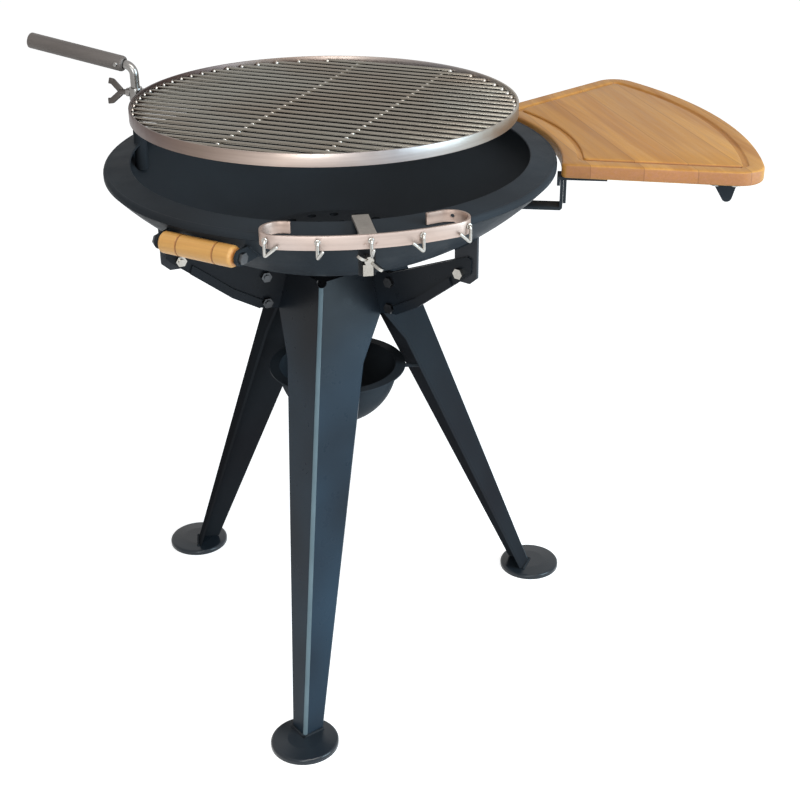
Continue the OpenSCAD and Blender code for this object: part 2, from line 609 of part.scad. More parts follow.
// The board's outline: two arcs, two straight edges and rounded corners
module board_outline(inset) {
    a1 = board_angle / 2;
    ri = board_in_r + inset;
    ro = board_out_r - inset;
    co = max(corner_r - inset, 3);
    ci = 8;
    // Angle by which a corner's centre lies inside the straight edge
    function corner_a(r, c) = asin((c + inset) / r);
    rc = ro - co;
    rd = ri + ci;
    ao = a1 - corner_a(rc, co);
    ai = a1 - corner_a(rd, ci);
    polygon(concat(
        arc([0, 0], ro, -ao, ao, 40),
        arc(rc * [cos(ao), sin(ao)], co, ao, a1 + 90, 10),
        arc(rd * [cos(ai), sin(ai)], ci, a1 + 90, ai + 180, 5),
        arc([0, 0], ri, ai, -ai, 30),
        arc(rd * [cos(ai), -sin(ai)], ci, 180 - ai, 270 - a1, 5),
        arc(rc * [cos(ao), -sin(ao)], co, -a1 - 90, -ao, 10)));
}
board_mid = board_az + board_angle / 2;
module side_board() color(beech) at(board_mid) difference() {
    union() {
        translate([0, 0, board_bottom]) linear_extrude(board_t - 2) board_outline(0);
        translate([0, 0, board_top - 2]) linear_extrude(2) board_outline(1.2);
    }
    translate([0, 0, board_top - groove_depth]) linear_extrude(groove_depth + 1) difference() {
        board_outline(groove_in);
        board_outline(groove_in + groove_w);
    }
    hook_screw_places() translate([0, 0, -1]) rod(screw_d, screw_l + 1);
    lug_screw_places() translate([0, 0, -1]) rod(screw_d, screw_l + 1);
}
screw_d = 4.5;
screw_l = 12;
lug_plate_t = 3;
// The screws' places under the board, in the frame of the board's middle
module hook_screw_places() for (a = strap_az, r = [25, 45]) rotate([0, 0, a - board_mid]) translate([board_in_r + r, 0, board_bottom]) children();
module lug_screw_places() for (a = lug_az, r = [-12, 12]) rotate([0, 0, a - board_mid]) translate([lug_r + r, 0, board_bottom]) children();
module wood_screw(seat) translate([0, 0, -seat]) {
    rod(screw_d, screw_l + seat);
    translate([0, 0, -2]) rod(2 * screw_d, 2);
}
lug_r = 517;
lug_az = [board_az + 1.9, board_az + board_angle - 1.9];
module board_brackets() color(steel) difference() {
    for (a = strap_az) at(a) translate([0, strap_w / 2, 0]) rotate([90, 0, 0]) linear_extrude(strap_w) polygon([
        [dish_at(bracket_z) - 20, bracket_z - strap_t], [upright_r + strap_t - 3, bracket_z - strap_t], [upright_r + strap_t, bracket_z - strap_t + 3],
        [upright_r + strap_t, upright_top], [upright_r, upright_top], [upright_r, bracket_z], [dish_at(bracket_z) - 20, bracket_z]]);
    dish_ball();
}
module board_hooks() color(steel) at(board_mid) difference() {
    for (a = strap_az) rotate([0, 0, a - board_mid]) translate([0, strap_w / 2, 0]) rotate([90, 0, 0]) linear_extrude(strap_w) {
        out = upright_r + strap_t + hang_clear;
        in = upright_r - hang_clear - strap_t;
        polygon([[in, board_bottom], [board_in_r + 60, board_bottom], [board_in_r + 60, strap_z], [out + strap_t, strap_z],
                 [out + strap_t, bracket_z + 6], [out, bracket_z + 6], [out, strap_z], [in + strap_t, strap_z], [in + strap_t, strap_z - 8], [in, strap_z - 8]]);
    }
    hook_screw_places() translate([0, 0, -10]) rod(screw_d, 20);
}
module board_lugs() color(steel) at(board_mid) difference() {
    for (a = lug_az) rotate([0, 0, a - board_mid]) translate([lug_r, 0, board_bottom]) {
        translate([-19, -7, -lug_plate_t]) cube([38, 16.5, lug_plate_t]);
        translate([0, 9.5, 0]) rotate([90, 0, 0]) linear_extrude(4) polygon(concat([[17, 0], [-17, 0]], arc([4, -22], 7, 225, 345, 6)));
    }
    lug_screw_places() translate([0, 0, -10]) rod(screw_d, 20);
}
module board_screws() color(zinc) at(board_mid) {
    hook_screw_places() wood_screw(strap_t);
    lug_screw_places() wood_screw(lug_plate_t);
}

fire_bowl();
bowl_tabs();
charcoal_plate();
plate_knob();
at(0) leg();  // leg_front
at(120) leg();  // leg_right
at(240) leg();  // leg_left
at(0) translate([foot_circle_r, 0, 0]) foot();  // foot_front
at(120) translate([foot_circle_r, 0, 0]) foot();  // foot_right
at(240) translate([foot_circle_r, 0, 0]) foot();  // foot_left
color(steel) root_places() stand_bolt();  // root_bolts
color(steel) root_places() stand_spacer();  // root_spacers
color(steel) root_places() stand_nut();  // root_nuts
color(zinc) tip_places() stand_bolt();  // tip_bolts
color(zinc) tip_places() stand_nut();  // tip_nuts
ash_pot();
pot_pins();
grate_ring();
grate_rods();
grate_cross_bars();
grate_sleeve();
grate_wing_screw();
swing_post();
post_socket();
grip_tube();
grip_rivet();
tool_rail();
rail_bracket();
rail_rivets();
rail_wing_screw();
square_screw();
hook(0);  // hook_1
hook(1);  // hook_2
hook(2);  // hook_3
hook(3);  // hook_4
hook(4);  // hook_5
handle_lugs();
handle_rods();
at(carry_az) wooden_grip();  // front_grip
at(carry_az + 180) wooden_grip();  // rear_grip
board_brackets();
side_board();
board_hooks();
board_lugs();
board_screws();
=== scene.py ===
# %% [markdown]
# # A fire bowl barbecue on a folded tripod
# The real object is a shallow steel bowl for charcoal, carried by three folded legs. A round grate hangs over it on
# a swinging post, a flat rail with hooks is clamped to its brim, and a beech board hangs at its side.
# Its shapes and joints come from the imported CAD model, so this lesson adds what CAD leaves out: finishes, welds,
# rounded edges, bent wire, light and a camera.

# %% The frame
import math

import bmesh
import bpy
from mathutils import Matrix, Vector


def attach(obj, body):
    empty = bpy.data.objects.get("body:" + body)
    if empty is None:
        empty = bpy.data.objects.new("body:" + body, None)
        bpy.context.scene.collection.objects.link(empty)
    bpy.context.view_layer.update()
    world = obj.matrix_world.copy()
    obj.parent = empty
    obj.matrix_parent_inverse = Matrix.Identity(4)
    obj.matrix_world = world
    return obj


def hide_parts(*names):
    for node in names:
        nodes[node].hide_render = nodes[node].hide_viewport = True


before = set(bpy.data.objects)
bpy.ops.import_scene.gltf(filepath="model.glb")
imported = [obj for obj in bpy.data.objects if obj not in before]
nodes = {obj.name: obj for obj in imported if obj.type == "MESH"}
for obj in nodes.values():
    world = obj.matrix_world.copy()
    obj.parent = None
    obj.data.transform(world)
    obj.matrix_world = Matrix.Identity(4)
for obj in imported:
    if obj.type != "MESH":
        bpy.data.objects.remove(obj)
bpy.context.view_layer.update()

# %% [markdown]
# ## The camera
# The photograph was taken with a normal lens from a little above the grate, turned slightly to the left of the
# front leg. A camera can be aimed with a constraint, but the picture is also rolled by half a degree, so its three
# axes are worked out from a heading, a pitch and a roll, and put into a matrix.

# %% Camera
CAMERA_AT = Vector((0.3597, -1.8628, 1.3455))
HEADING, PITCH, ROLL = math.radians(-8.25), math.radians(27.34), -0.0092
LENS, SENSOR = 66.35, 36.0

forward = Vector((math.sin(HEADING) * math.cos(PITCH), math.cos(HEADING) * math.cos(PITCH), -math.sin(PITCH)))
level = forward.cross(Vector((0, 0, 1))).normalized()
upward = level.cross(forward)
right = math.cos(ROLL) * level + math.sin(ROLL) * upward
up = -math.sin(ROLL) * level + math.cos(ROLL) * upward


def in_scene(name, data):
    """Makes an object of some data and adds it to the scene."""
    made = bpy.data.objects.new(name, data)
    bpy.context.scene.collection.objects.link(made)
    return made


camera = in_scene("camera", bpy.data.cameras.new("camera"))
camera.matrix_world = Matrix.Translation(CAMERA_AT) @ Matrix((right, up, -forward)).transposed().to_4x4()
camera.data.lens, camera.data.sensor_width = LENS, SENSOR
camera.data.clip_start, camera.data.clip_end = 0.05, 60
bpy.context.scene.camera = camera
print("camera looks along", [round(x, 3) for x in forward])

# %% [markdown]
# ## Small helpers for finishes
# Colours are easiest to pick as a screen shows them, and a shader wants them linear, so `screen` turns one into the
# other. `step` adds one node and fills or links its sockets, so that a pattern reads as a list of steps.
# A pattern that several finishes share becomes a node group with named sockets, and `finish` puts such a group
# before a shader. Numbers that are the same all over the surface are set on the shader itself.

# %% Helpers for finishes
SHADER_SOCKETS = {"Color": "Base Color", "Roughness": "Roughness", "Normal": "Normal"}


def screen(red, green, blue):
    """A colour as a screen shows it, 0 to 255, as the linear colour of a shader."""
    shares = (red / 255, green / 255, blue / 255)
    return tuple(c / 12.92 if c <= 0.04045 else ((c + 0.055) / 1.055) ** 2.4 for c in shares) + (1,)


def step(tree, kind, sockets, **settings):
    """One node. Sockets go by place or name: a socket is linked, and anything else is set. Returns its outputs."""
    node = tree.nodes.new("ShaderNode" + kind)
    for name, value in settings.items():
        setattr(node, name, value)
    for key, value in sockets.items():
        if isinstance(value, bpy.types.NodeSocket):
            tree.links.new(value, node.inputs[key])
        else:
            node.inputs[key].default_value = value
    return node.outputs


def maths(tree, operation, *values):
    """The result of a Math node on one, two or three values."""
    return step(tree, "Math", dict(enumerate(values)), operation=operation)[0]


def own_axes(tree):
    """The Object coordinates of the surface, one by one."""
    return step(tree, "SeparateXYZ", {0: step(tree, "TexCoord", {})["Object"]})


def mixed(tree, share, one, other):
    """A colour between two colours."""
    return step(tree, "Mix", {0: share, 6: one, 7: other}, data_type="RGBA")[2]


def shaded(tree, tone, shade):
    """A colour that a value makes darker or lighter."""
    return step(tree, "Mix", {0: 1.0, 6: tone, 7: shade}, data_type="RGBA", blend_type="MULTIPLY")[2]


def spread(tree, value, low, high, start=0.3, end=0.7):
    """A value that runs from low to high while another goes from start to end, such as the middle range of a noise."""
    return step(tree, "MapRange", {0: value, 1: start, 2: end, 3: low, 4: high})[0]


def noise(tree, place, scale, detail=3.0, roughness=0.5, distortion=0.0):
    return step(tree, "TexNoise", {"Vector": place, "Scale": scale, "Detail": detail, "Roughness": roughness,
                                   "Distortion": distortion})[0]


def new_pattern(name, inputs, outputs):
    """An empty node group with named sockets. Returns its tree, what comes in, and what goes out."""
    tree = bpy.data.node_groups.new(name, "ShaderNodeTree")
    for label, kind, value in inputs:
        socket = tree.interface.new_socket(label, in_out="INPUT", socket_type="NodeSocket" + kind)
        if value is not None:
            socket.default_value = value
    for label, kind in outputs:
        tree.interface.new_socket(label, in_out="OUTPUT", socket_type="NodeSocket" + kind)
    return tree, tree.nodes.new("NodeGroupInput").outputs, tree.nodes.new("NodeGroupOutput").inputs


def finish(name, pattern, values, shader, turn=0.0, centre=(0, 0, 0), stretch=(1, 1, 1)):
    """A material: a pattern on Object coordinates, moved to a centre, turned and stretched, before a shader."""
    made = bpy.data.materials.new(name)
    made.use_nodes = True
    tree = made.node_tree
    surface = tree.nodes["Principled BSDF"]
    place = step(tree, "TexCoord", {})["Object"]
    place = step(tree, "VectorMath", {0: place, 1: centre}, operation="SUBTRACT")[0]
    place = step(tree, "Mapping", {"Vector": place, "Rotation": (0, 0, -turn)})[0]
    place = step(tree, "VectorMath", {0: place, 1: stretch}, operation="MULTIPLY")[0]
    group = tree.nodes.new("ShaderNodeGroup")
    group.node_tree = pattern
    tree.links.new(place, group.inputs["Vector"])
    for label, value in values.items():
        group.inputs[label].default_value = value
    for label, socket in SHADER_SOCKETS.items():
        tree.links.new(group.outputs[label], surface.inputs[socket])
    for label, value in shader.items():
        surface.inputs[label].default_value = value
    return made


# %% [markdown]
# ## Black enamel
# The bowl, the legs and the pot are coated black, and baked. Such a coat isn't quite even: it has a very fine
# orange-peel skin, broad patches where it is a little glossier, and a faint blue cast where it is thick. A bump from
# a fine noise gives the skin, and two broader noises give the patches.

# %% Enamel pattern
enamel, given, out = new_pattern(
    "enamel_skin",
    [("Vector", "Vector", None), ("Coat", "Color", screen(44, 46, 49)), ("Cast", "Color", screen(50, 55, 60)),
     ("Gloss Low", "Float", 0.32), ("Gloss High", "Float", 0.46), ("Peel", "Float", 0.12)],
    [("Color", "Color"), ("Roughness", "Float"), ("Normal", "Vector")])
cloud = noise(enamel, given["Vector"], 5.0, detail=2.0)
patch = noise(enamel, given["Vector"], 34.0, detail=4.0, roughness=0.6)
skin = noise(enamel, given["Vector"], 1500.0, detail=2.0)
tone = mixed(enamel, spread(enamel, cloud, 0.0, 1.0), given["Coat"], given["Cast"])
speck = spread(enamel, skin, 0.94, 1.06)
enamel.links.new(shaded(enamel, tone, speck), out["Color"])
enamel.links.new(spread(enamel, patch, given["Gloss Low"], given["Gloss High"]), out["Roughness"])
bumped = step(enamel, "Bump", {"Strength": given["Peel"], "Distance": 0.0003, "Height": skin})[0]
enamel.links.new(bumped, out["Normal"])
print("enamel pattern:", len(enamel.nodes), "nodes")

# %% [markdown]
# ## Bare steel
# The grate and the rail are bare stainless steel, and the small parts are plated with zinc. Bare metal has almost
# no colour of its own, but it carries drawing or grinding lines, smudges from hands, and on a grate a faint tan from
# heat. The lines are one noise that the material stretches along the metal, so a single group serves rods, bands and
# screws.

# %% Steel pattern
steel, given, out = new_pattern(
    "drawn_steel",
    [("Vector", "Vector", None), ("Metal", "Color", screen(200, 195, 188)), ("Tan", "Color", screen(190, 165, 140)),
     ("Rough Low", "Float", 0.2), ("Rough High", "Float", 0.34), ("Lines", "Float", 0.1)],
    [("Color", "Color"), ("Roughness", "Float"), ("Normal", "Vector")])
lines = noise(steel, given["Vector"], 260.0, detail=3.0, roughness=0.7)
own_place = step(steel, "TexCoord", {})["Object"]
heat = noise(steel, own_place, 4.5, detail=2.0, distortion=0.4)
smudge = noise(steel, own_place, 42.0, detail=5.0, roughness=0.65)
tone = mixed(steel, spread(steel, heat, 0.0, 1.0, 0.35, 0.65), given["Metal"], given["Tan"])
steel.links.new(shaded(steel, tone, spread(steel, lines, 0.9, 1.08)), out["Color"])
steel.links.new(spread(steel, smudge, given["Rough Low"], given["Rough High"], 0.3, 0.72), out["Roughness"])
bumped = step(steel, "Bump", {"Strength": given["Lines"], "Distance": 0.0002, "Height": lines})[0]
steel.links.new(bumped, out["Normal"])
print("steel pattern:", len(steel.nodes), "nodes")

# %% [markdown]
# ## Beech
# The board is glued from staves, and each stave has its own tone and its own run of grain. Counting staves with a
# floor and feeding the count to a white noise gives each its tone. The grain is a noise that is much longer than wide,
# and short dark flecks are the pores of beech. Where the wood is cut across, at the ends of the staves, the grain
# shows as arcs and the wood is redder, so the pattern looks at which way the surface faces.

# %% Wood pattern
wood, given, out = new_pattern(
    "stave_wood",
    [("Vector", "Vector", None), ("Light", "Color", screen(194, 140, 71)), ("Dark", "Color", screen(164, 109, 48)),
     ("End", "Color", screen(167, 113, 79)), ("Stave Width", "Float", 0.062), ("Joints", "Float", 1.0),
     ("Grain Turn", "Float", 0.0)],
    [("Color", "Color"), ("Roughness", "Float"), ("Normal", "Vector")])
axes = step(wood, "SeparateXYZ", {0: given["Vector"]})
staves = maths(wood, "DIVIDE", axes[0], given["Stave Width"])
luck = step(wood, "TexWhiteNoise", {"W": maths(wood, "FLOOR", staves)}, noise_dimensions="1D")[0]
shift = maths(wood, "MULTIPLY", luck, 3.0)


def along_stave(stretch):
    """A place in the wood, stretched along the stave, with a start of its own on each stave."""
    long_y = maths(wood, "MULTIPLY_ADD", axes[1], stretch, shift)
    return step(wood, "CombineXYZ", {0: axes[0], 1: long_y, 2: axes[2]})[0]


grain_at = along_stave(0.05)
figure = noise(wood, grain_at, 42.0, detail=4.0, roughness=0.55, distortion=0.9)
fibre = noise(wood, grain_at, 420.0, detail=3.0, roughness=0.6)
pores = spread(wood, noise(wood, along_stave(0.2), 900.0, detail=1.0), 0.0, 1.0, 0.62, 0.72)
side_tone = mixed(wood, spread(wood, figure, 0.0, 1.0), given["Light"], given["Dark"])
facing = step(wood, "TexCoord", {})["Normal"]
faced = step(wood, "VectorRotate", {"Vector": facing, "Angle": given["Grain Turn"]}, rotation_type="Z_AXIS")[0]
end_on = maths(wood, "ABSOLUTE", step(wood, "SeparateXYZ", {0: faced})[1])
ring_at = step(wood, "CombineXYZ", {0: axes[0], 1: shift, 2: axes[2]})[0]
rings = noise(wood, ring_at, 150.0, detail=2.0, distortion=1.5)
end_tone = mixed(wood, spread(wood, rings, 0.0, 0.55), given["End"], given["Dark"])
tone = mixed(wood, spread(wood, end_on, 0.0, 1.0, 0.72, 0.9), side_tone, end_tone)
for shade in (spread(wood, luck, 0.84, 1.1, 0.0, 1.0), spread(wood, fibre, 0.93, 1.05)):
    tone = shaded(wood, tone, shade)
tone = mixed(wood, maths(wood, "MULTIPLY", pores, 0.35), tone, given["Dark"])
from_middle = maths(wood, "ABSOLUTE", maths(wood, "SUBTRACT", maths(wood, "FRACT", staves), 0.5))
joint = maths(wood, "MULTIPLY", spread(wood, from_middle, 0.0, 0.6, 0.488, 0.5), given["Joints"])
wood.links.new(mixed(wood, joint, tone, screen(96, 62, 34)), out["Color"])
wood.links.new(spread(wood, fibre, 0.42, 0.56), out["Roughness"])
height = maths(wood, "SUBTRACT", fibre, joint)
wood.links.new(step(wood, "Bump", {"Strength": 0.25, "Distance": 0.0003, "Height": height})[0], out["Normal"])
print("wood pattern:", len(wood.nodes), "nodes")

# %% [markdown]
# ## The finishes
# Each surface now gets its finish. The grate's rods lie 13 degrees off the side, so their lines are turned with them;
# the ring's lines run round it, which level noise gives for free. The board's staves run along the tangent at its
# middle, and the carry grips are turned from one piece, so they have no joints. Azimuths are counted in degrees from
# the front leg, and an outward direction at an azimuth is 90 degrees less from the X axis.

# %% Finishes
BOARD_AZ, CARRY_AZ, HANDLE_AZ = 88 + 51.5 / 2, -21.4, -99
BOARD_TURN, CARRY_TURN, GRIP_TURN = (math.radians(a - 90) for a in (BOARD_AZ, CARRY_AZ, HANDLE_AZ))
ROD_TURN = math.radians(-12.9)
ROUND_IT, ALONG_POST, ALONG_ROD, ALONG_GRIP = (0.02, 0.02, 1), (1, 1, 0.03), (0.02, 1, 1), (0.03, 1, 1)


def coated(name, coat, cast, specular, low=0.32, high=0.46, peel=0.12):
    """An enamel of two tones, with how much it mirrors, its range of roughness, and the strength of its skin."""
    values = {"Coat": screen(*coat), "Cast": screen(*cast), "Gloss Low": low, "Gloss High": high, "Peel": peel}
    return finish(name, enamel, values, {"Metallic": 0.0, "Specular IOR Level": specular})


def drawn(name, metal, tan, low=0.2, high=0.34, lines=0.1, metallic=1.0, **lie):
    """A steel of two tones, with its range of roughness, the strength of its lines, and how they lie."""
    values = {"Metal": screen(*metal), "Tan": screen(*tan), "Rough Low": low, "Rough High": high, "Lines": lines}
    return finish(name, steel, values, {"Metallic": metallic}, **lie)


finishes = {
    "enamel": coated("black_enamel", (44, 46, 49), (50, 55, 60), 0.01),
    # The leg enamel's strong blue cast is painted blue light.
    "leg_enamel": coated("leg_enamel", (24, 28, 34), (42, 59, 73), 0.1, 0.26, 0.34),
    "tab_enamel": coated("tab_enamel", (52, 51, 53), (58, 60, 64), 0.1),
    "foot_enamel": coated("foot_enamel", (29, 33, 37), (36, 43, 50), 0.32, 0.16, 0.26),
    "iron": coated("charcoal_plate_iron", (30, 32, 35), (35, 39, 43), 0.08, 0.5, 0.7, peel=0.4),
    "rod": drawn("grate_rod_steel", (140, 138, 130), (132, 123, 112), turn=ROD_TURN, stretch=ALONG_ROD),
    "band": drawn("grate_ring_steel", (228, 222, 216), (222, 190, 165), 0.34, 0.46, stretch=ROUND_IT),
    "weld": drawn("weld_steel", (206, 208, 206), (188, 180, 170)),
    "rail": drawn("tool_rail_steel", (181, 168, 162), (172, 150, 138), 0.42, 0.54, stretch=ROUND_IT),
    "bracket": drawn("bracket_steel_shaded_leg", (158, 151, 144), (142, 134, 124), 0.4, 0.55, lines=0.3, metallic=0.8),
    "zinc": drawn("plated_zinc", (186, 184, 180), (158, 152, 144), 0.16, 0.3),
    "dark_zinc": drawn("dark_bolt_steel", (92, 94, 96), (70, 70, 72), 0.3, 0.45),
    "fork": drawn("fork_steel", (104, 99, 95), (82, 78, 75), 0.32, 0.46),
    "post": drawn("post_steel", (150, 148, 146), (120, 116, 112), stretch=ALONG_POST),
    "grip": drawn("grip_tube_steel", (106, 99, 95), (94, 87, 83), 0.45, 0.6, lines=0.3, metallic=0.3,
                  turn=GRIP_TURN, stretch=ALONG_GRIP),
    "board": finish("board_beech", wood, {"Grain Turn": -BOARD_TURN}, {"Specular IOR Level": 0.3}, turn=BOARD_TURN),
    "carry": finish("grip_beech", wood, {"Light": screen(222, 173, 99), "Dark": screen(198, 140, 72),
                                         "End": screen(190, 120, 60), "Stave Width": 1.0, "Joints": 0.0,
                                         "Grain Turn": -CARRY_TURN},
                    {"Coat Weight": 0.2, "Coat Roughness": 0.25}, turn=CARRY_TURN, centre=(0.0, 0.0, 0.4)),
}

worn_by = {
    "enamel": ["fire_bowl", "ash_pot", "pot_pins", "post_socket", "handle_lugs", "board_brackets",
               "board_hooks", "board_lugs"],
    "tab_enamel": ["bowl_tabs"],
    "foot_enamel": ["foot_front", "foot_right", "foot_left"],
    "leg_enamel": ["leg_front", "leg_right", "leg_left"],
    "bracket": ["rail_bracket"],
    "iron": ["charcoal_plate", "plate_knob"],
    "rod": ["grate_rods", "grate_cross_bars"],
    "band": ["grate_ring"],
    "rail": ["tool_rail", "rail_rivets"],
    "zinc": ["tip_bolts", "tip_nuts", "rail_wing_screw", "square_screw", "board_screws", "hook_1", "hook_2", "hook_3",
             "hook_4", "hook_5"],
    "dark_zinc": ["root_bolts", "root_spacers", "root_nuts", "handle_rods"],
    "post": ["swing_post", "grate_sleeve", "grate_wing_screw", "grip_rivet"],
    "grip": ["grip_tube"],
    "board": ["side_board"],
    "carry": ["front_grip", "rear_grip"],
}


def wear(piece, name):
    """Puts one finish on a piece, in place of what it wears."""
    piece.data.materials.clear()
    piece.data.materials.append(finishes[name])


for name, worn in worn_by.items():
    for node in worn:
        wear(nodes[node], name)

# %% [markdown]
# ## Heat colour, painted light and darker grooves
# Some finishes need more than their pattern. The ring's band was coloured by heat: it is mauve beside the post, straw
# further on, and clean on the far side, with a painted reflection that makes it brightest halfway across, so a ramp
# across the grate feeds its pattern. The rail's bracket keeps its steel's colour where it lies on the brim and has
# painted shade below, and the two turned grooves of each carry grip are coloured darker. Each is a value that changes
# with the place, and is mixed in before or after the pattern.

# %% Helpers for wear
def pattern_sockets(tree):
    """What goes into the pattern of a finish."""
    return next(n for n in tree.nodes if n.type == "GROUP").inputs


def tint(tree, share, colour):
    """Mixes a share of a colour over what the surface has."""
    base = tree.nodes["Principled BSDF"].inputs["Base Color"]
    tree.links.new(mixed(tree, share, base.links[0].from_socket, colour), base)


# %% Heat colours and painted reflection of the ring
RAMP_FROM, RAMP_TO, TAN_SHARE, TAN_SPOTS = -0.26, 0.25, 0.14, screen(160, 118, 100)
# The ramp holds the ring's heat colours and a painted reflection: its bright stop halfway across stands for light
# mirrored there.
HEAT_AND_REFLECTION_COLOURS = ((0.0, (60, 52, 52)), (0.15, (88, 77, 74)), (0.3, (128, 115, 106)), (0.5, (188, 172, 162)),
                (0.75, (150, 148, 149)), (1.0, (146, 140, 128)))

tree = finishes["band"].node_tree
across = spread(tree, own_axes(tree)[0], 0.0, 1.0, RAMP_FROM, RAMP_TO)
heat_and_reflection_tone = step(tree, "ValToRGB", {0: across})[0]
ramp = heat_and_reflection_tone.node.color_ramp
for place, _ in HEAT_AND_REFLECTION_COLOURS[1:-1]:
    ramp.elements.new(place)
for element, (place, colour) in zip(ramp.elements, HEAT_AND_REFLECTION_COLOURS):
    element.position, element.color = place, screen(*colour)
sockets = pattern_sockets(tree)
tree.links.new(heat_and_reflection_tone, sockets["Metal"])
tree.links.new(mixed(tree, TAN_SHARE, heat_and_reflection_tone, TAN_SPOTS), sockets["Tan"])
print("heat colours:", len(ramp.elements))

# %% Painted shade on the leg of the rail's bracket
UNSHADED_ABOVE, SHADE_BELOW = 0.7372, 0.7345

# Below the brim the bracket's leg is coloured near-black as painted shade under the rail; above, it keeps its steel
# colour.
tree = finishes["bracket"].node_tree
unshaded_share = spread(tree, own_axes(tree)[2], 0.0, 1.0, SHADE_BELOW, UNSHADED_ABOVE)
sockets = pattern_sockets(tree)
steel_tone = sockets["Metal"].default_value[:]
for label, paint_or_shade in (("Metal", screen(34, 35, 38)), ("Tan", screen(30, 31, 33))):
    tree.links.new(mixed(tree, unshaded_share, paint_or_shade, steel_tone), sockets[label])

# %% Grooves of the carry grips
GROOVE_AT, GROOVE_CORE, GROOVE_EDGE = 0.0265, 0.0007, 0.0017  # from the grip's middle, and half widths
GROOVE_SHARE, GROOVE_TONE = 0.75, screen(120, 72, 30)

tree = finishes["carry"].node_tree
along = step(tree, "SeparateXYZ", {0: pattern_sockets(tree)["Vector"].links[0].from_socket})[1]
from_groove = maths(tree, "ABSOLUTE", maths(tree, "SUBTRACT", maths(tree, "ABSOLUTE", along), GROOVE_AT))
tint(tree, spread(tree, from_groove, GROOVE_SHARE, 0.0, GROOVE_CORE, GROOVE_EDGE), GROOVE_TONE)

# %% [markdown]
# ## Folds and coats of the legs, with painted light
# The fold of each leg was pressed nearly flat and shows as one bright stripe. CAD has it as a round
# bend, so the shader leans the normals within the fold toward the middle of the bend, and lightens the coat there
# with a painted highlight.
# The three legs are alike, but each wears its own copy of the leg enamel with painted light: the front one is satin,
# with painted blue light below and painted shade near its top, and the two at the sides are darker, more neutral and
# matt, toned for how they are lit.

# %% Pressed folds, with a painted highlight
FOLD_TOP, FOLD_FOOT = (0.099, 0.5889), (0.319, 0.010)  # distance from the middle line, and height
SPLAY = math.atan((FOLD_FOOT[0] - FOLD_TOP[0]) / (FOLD_TOP[1] - FOLD_FOOT[1]))
FOLD_HALF, FOLD_EDGE, FOLD_PRESSED, FOLD_HIGHLIGHT_TONE = 0.0031, 0.0002, 0.8, screen(109, 127, 135)

fold, given, out = new_pattern("pressed_fold", [("Normal", "Vector", None), ("Azimuth", "Float", 0.0)],
                               [("Normal", "Vector"), ("Highlight", "Float")])
own = step(fold, "TexCoord", {})
back = maths(fold, "MULTIPLY", given["Azimuth"], -1.0)
in_leg = step(fold, "VectorRotate", {"Vector": own["Object"], "Angle": back}, rotation_type="Z_AXIS")[0]
sideways = maths(fold, "ABSOLUTE", step(fold, "SeparateXYZ", {0: in_leg})[0])
near_fold = spread(fold, sideways, 1.0, 0.0, FOLD_HALF - FOLD_EDGE, FOLD_HALF + FOLD_EDGE)
ahead = step(fold, "VectorRotate", {"Vector": (0, -math.cos(SPLAY), math.sin(SPLAY)), "Angle": given["Azimuth"]},
             rotation_type="Z_AXIS")[0]
facing = step(fold, "VectorMath", {0: own["Normal"], 1: ahead}, operation="DOT_PRODUCT")["Value"]
share = maths(fold, "MULTIPLY", near_fold, spread(fold, facing, 0.0, 1.0, 0.3, 0.5))
leaning = maths(fold, "MULTIPLY", share, FOLD_PRESSED)
leaned = step(fold, "Mix", {0: leaning, 4: given["Normal"], 5: ahead}, data_type="VECTOR")[1]
fold.links.new(step(fold, "VectorMath", {0: leaned}, operation="NORMALIZE")[0], out["Normal"])
# The coat is lightened along the fold as a painted highlight, a little uneven along the leg.
uneven_highlight = spread(fold, noise(fold, own["Object"], 16.0, detail=4.0), 0.72, 1.0)
fold.links.new(maths(fold, "MULTIPLY", share, uneven_highlight), out["Highlight"])
print("fold pattern:", len(fold.nodes), "nodes")

# %% Coats of the legs, with painted light and shade
LEG_AZ = {"leg_front": 0, "leg_right": 120, "leg_left": 240}
BLUE_LIGHT_BELOW, SHADE_ABOVE = 0.45, 0.565
TOP_SHADE_TONES = {"Coat": screen(26, 27, 30), "Cast": screen(31, 35, 40)}
SIDE_LIGHTING_TONES, SIDE_SPECULAR = {"Coat": screen(40, 40, 43), "Cast": screen(44, 48, 52)}, 0.0

for node, azimuth in LEG_AZ.items():
    paint_or_shade = finishes["leg_enamel"].copy()
    paint_or_shade.name = node + "_enamel"
    tree = paint_or_shade.node_tree
    surface, sockets = tree.nodes["Principled BSDF"].inputs, pattern_sockets(tree)
    if node == "leg_front":
        # The front leg keeps the painted blue light low down and turns to darker tones, painted shade, near its top.
        blue = spread(tree, own_axes(tree)[2], 1.0, 0.0, BLUE_LIGHT_BELOW, SHADE_ABOVE)
        for label, dark in TOP_SHADE_TONES.items():
            tree.links.new(mixed(tree, blue, dark, sockets[label].default_value[:]), sockets[label])
    else:
        # The side legs get matt, neutral tones that stand for how they are lit: a lit and a shaded copy of one enamel.
        surface["Specular IOR Level"].default_value = SIDE_SPECULAR
        for label, tone in SIDE_LIGHTING_TONES.items():
            sockets[label].default_value = tone
    pressed = tree.nodes.new("ShaderNodeGroup")
    pressed.node_tree = fold
    pressed.inputs["Azimuth"].default_value = math.radians(azimuth)
    tree.links.new(surface["Normal"].links[0].from_socket, pressed.inputs["Normal"])
    tree.links.new(pressed.outputs["Normal"], surface["Normal"])
    # Lightens the fold with its painted highlight.
    tint(tree, pressed.outputs["Highlight"], FOLD_HIGHLIGHT_TONE)
    finishes[node] = paint_or_shade
    wear(nodes[node], node)

undressed = sorted(set(nodes) - {n for worn in worn_by.values() for n in worn})
print("finishes:", len(finishes), "nodes without one:", undressed)

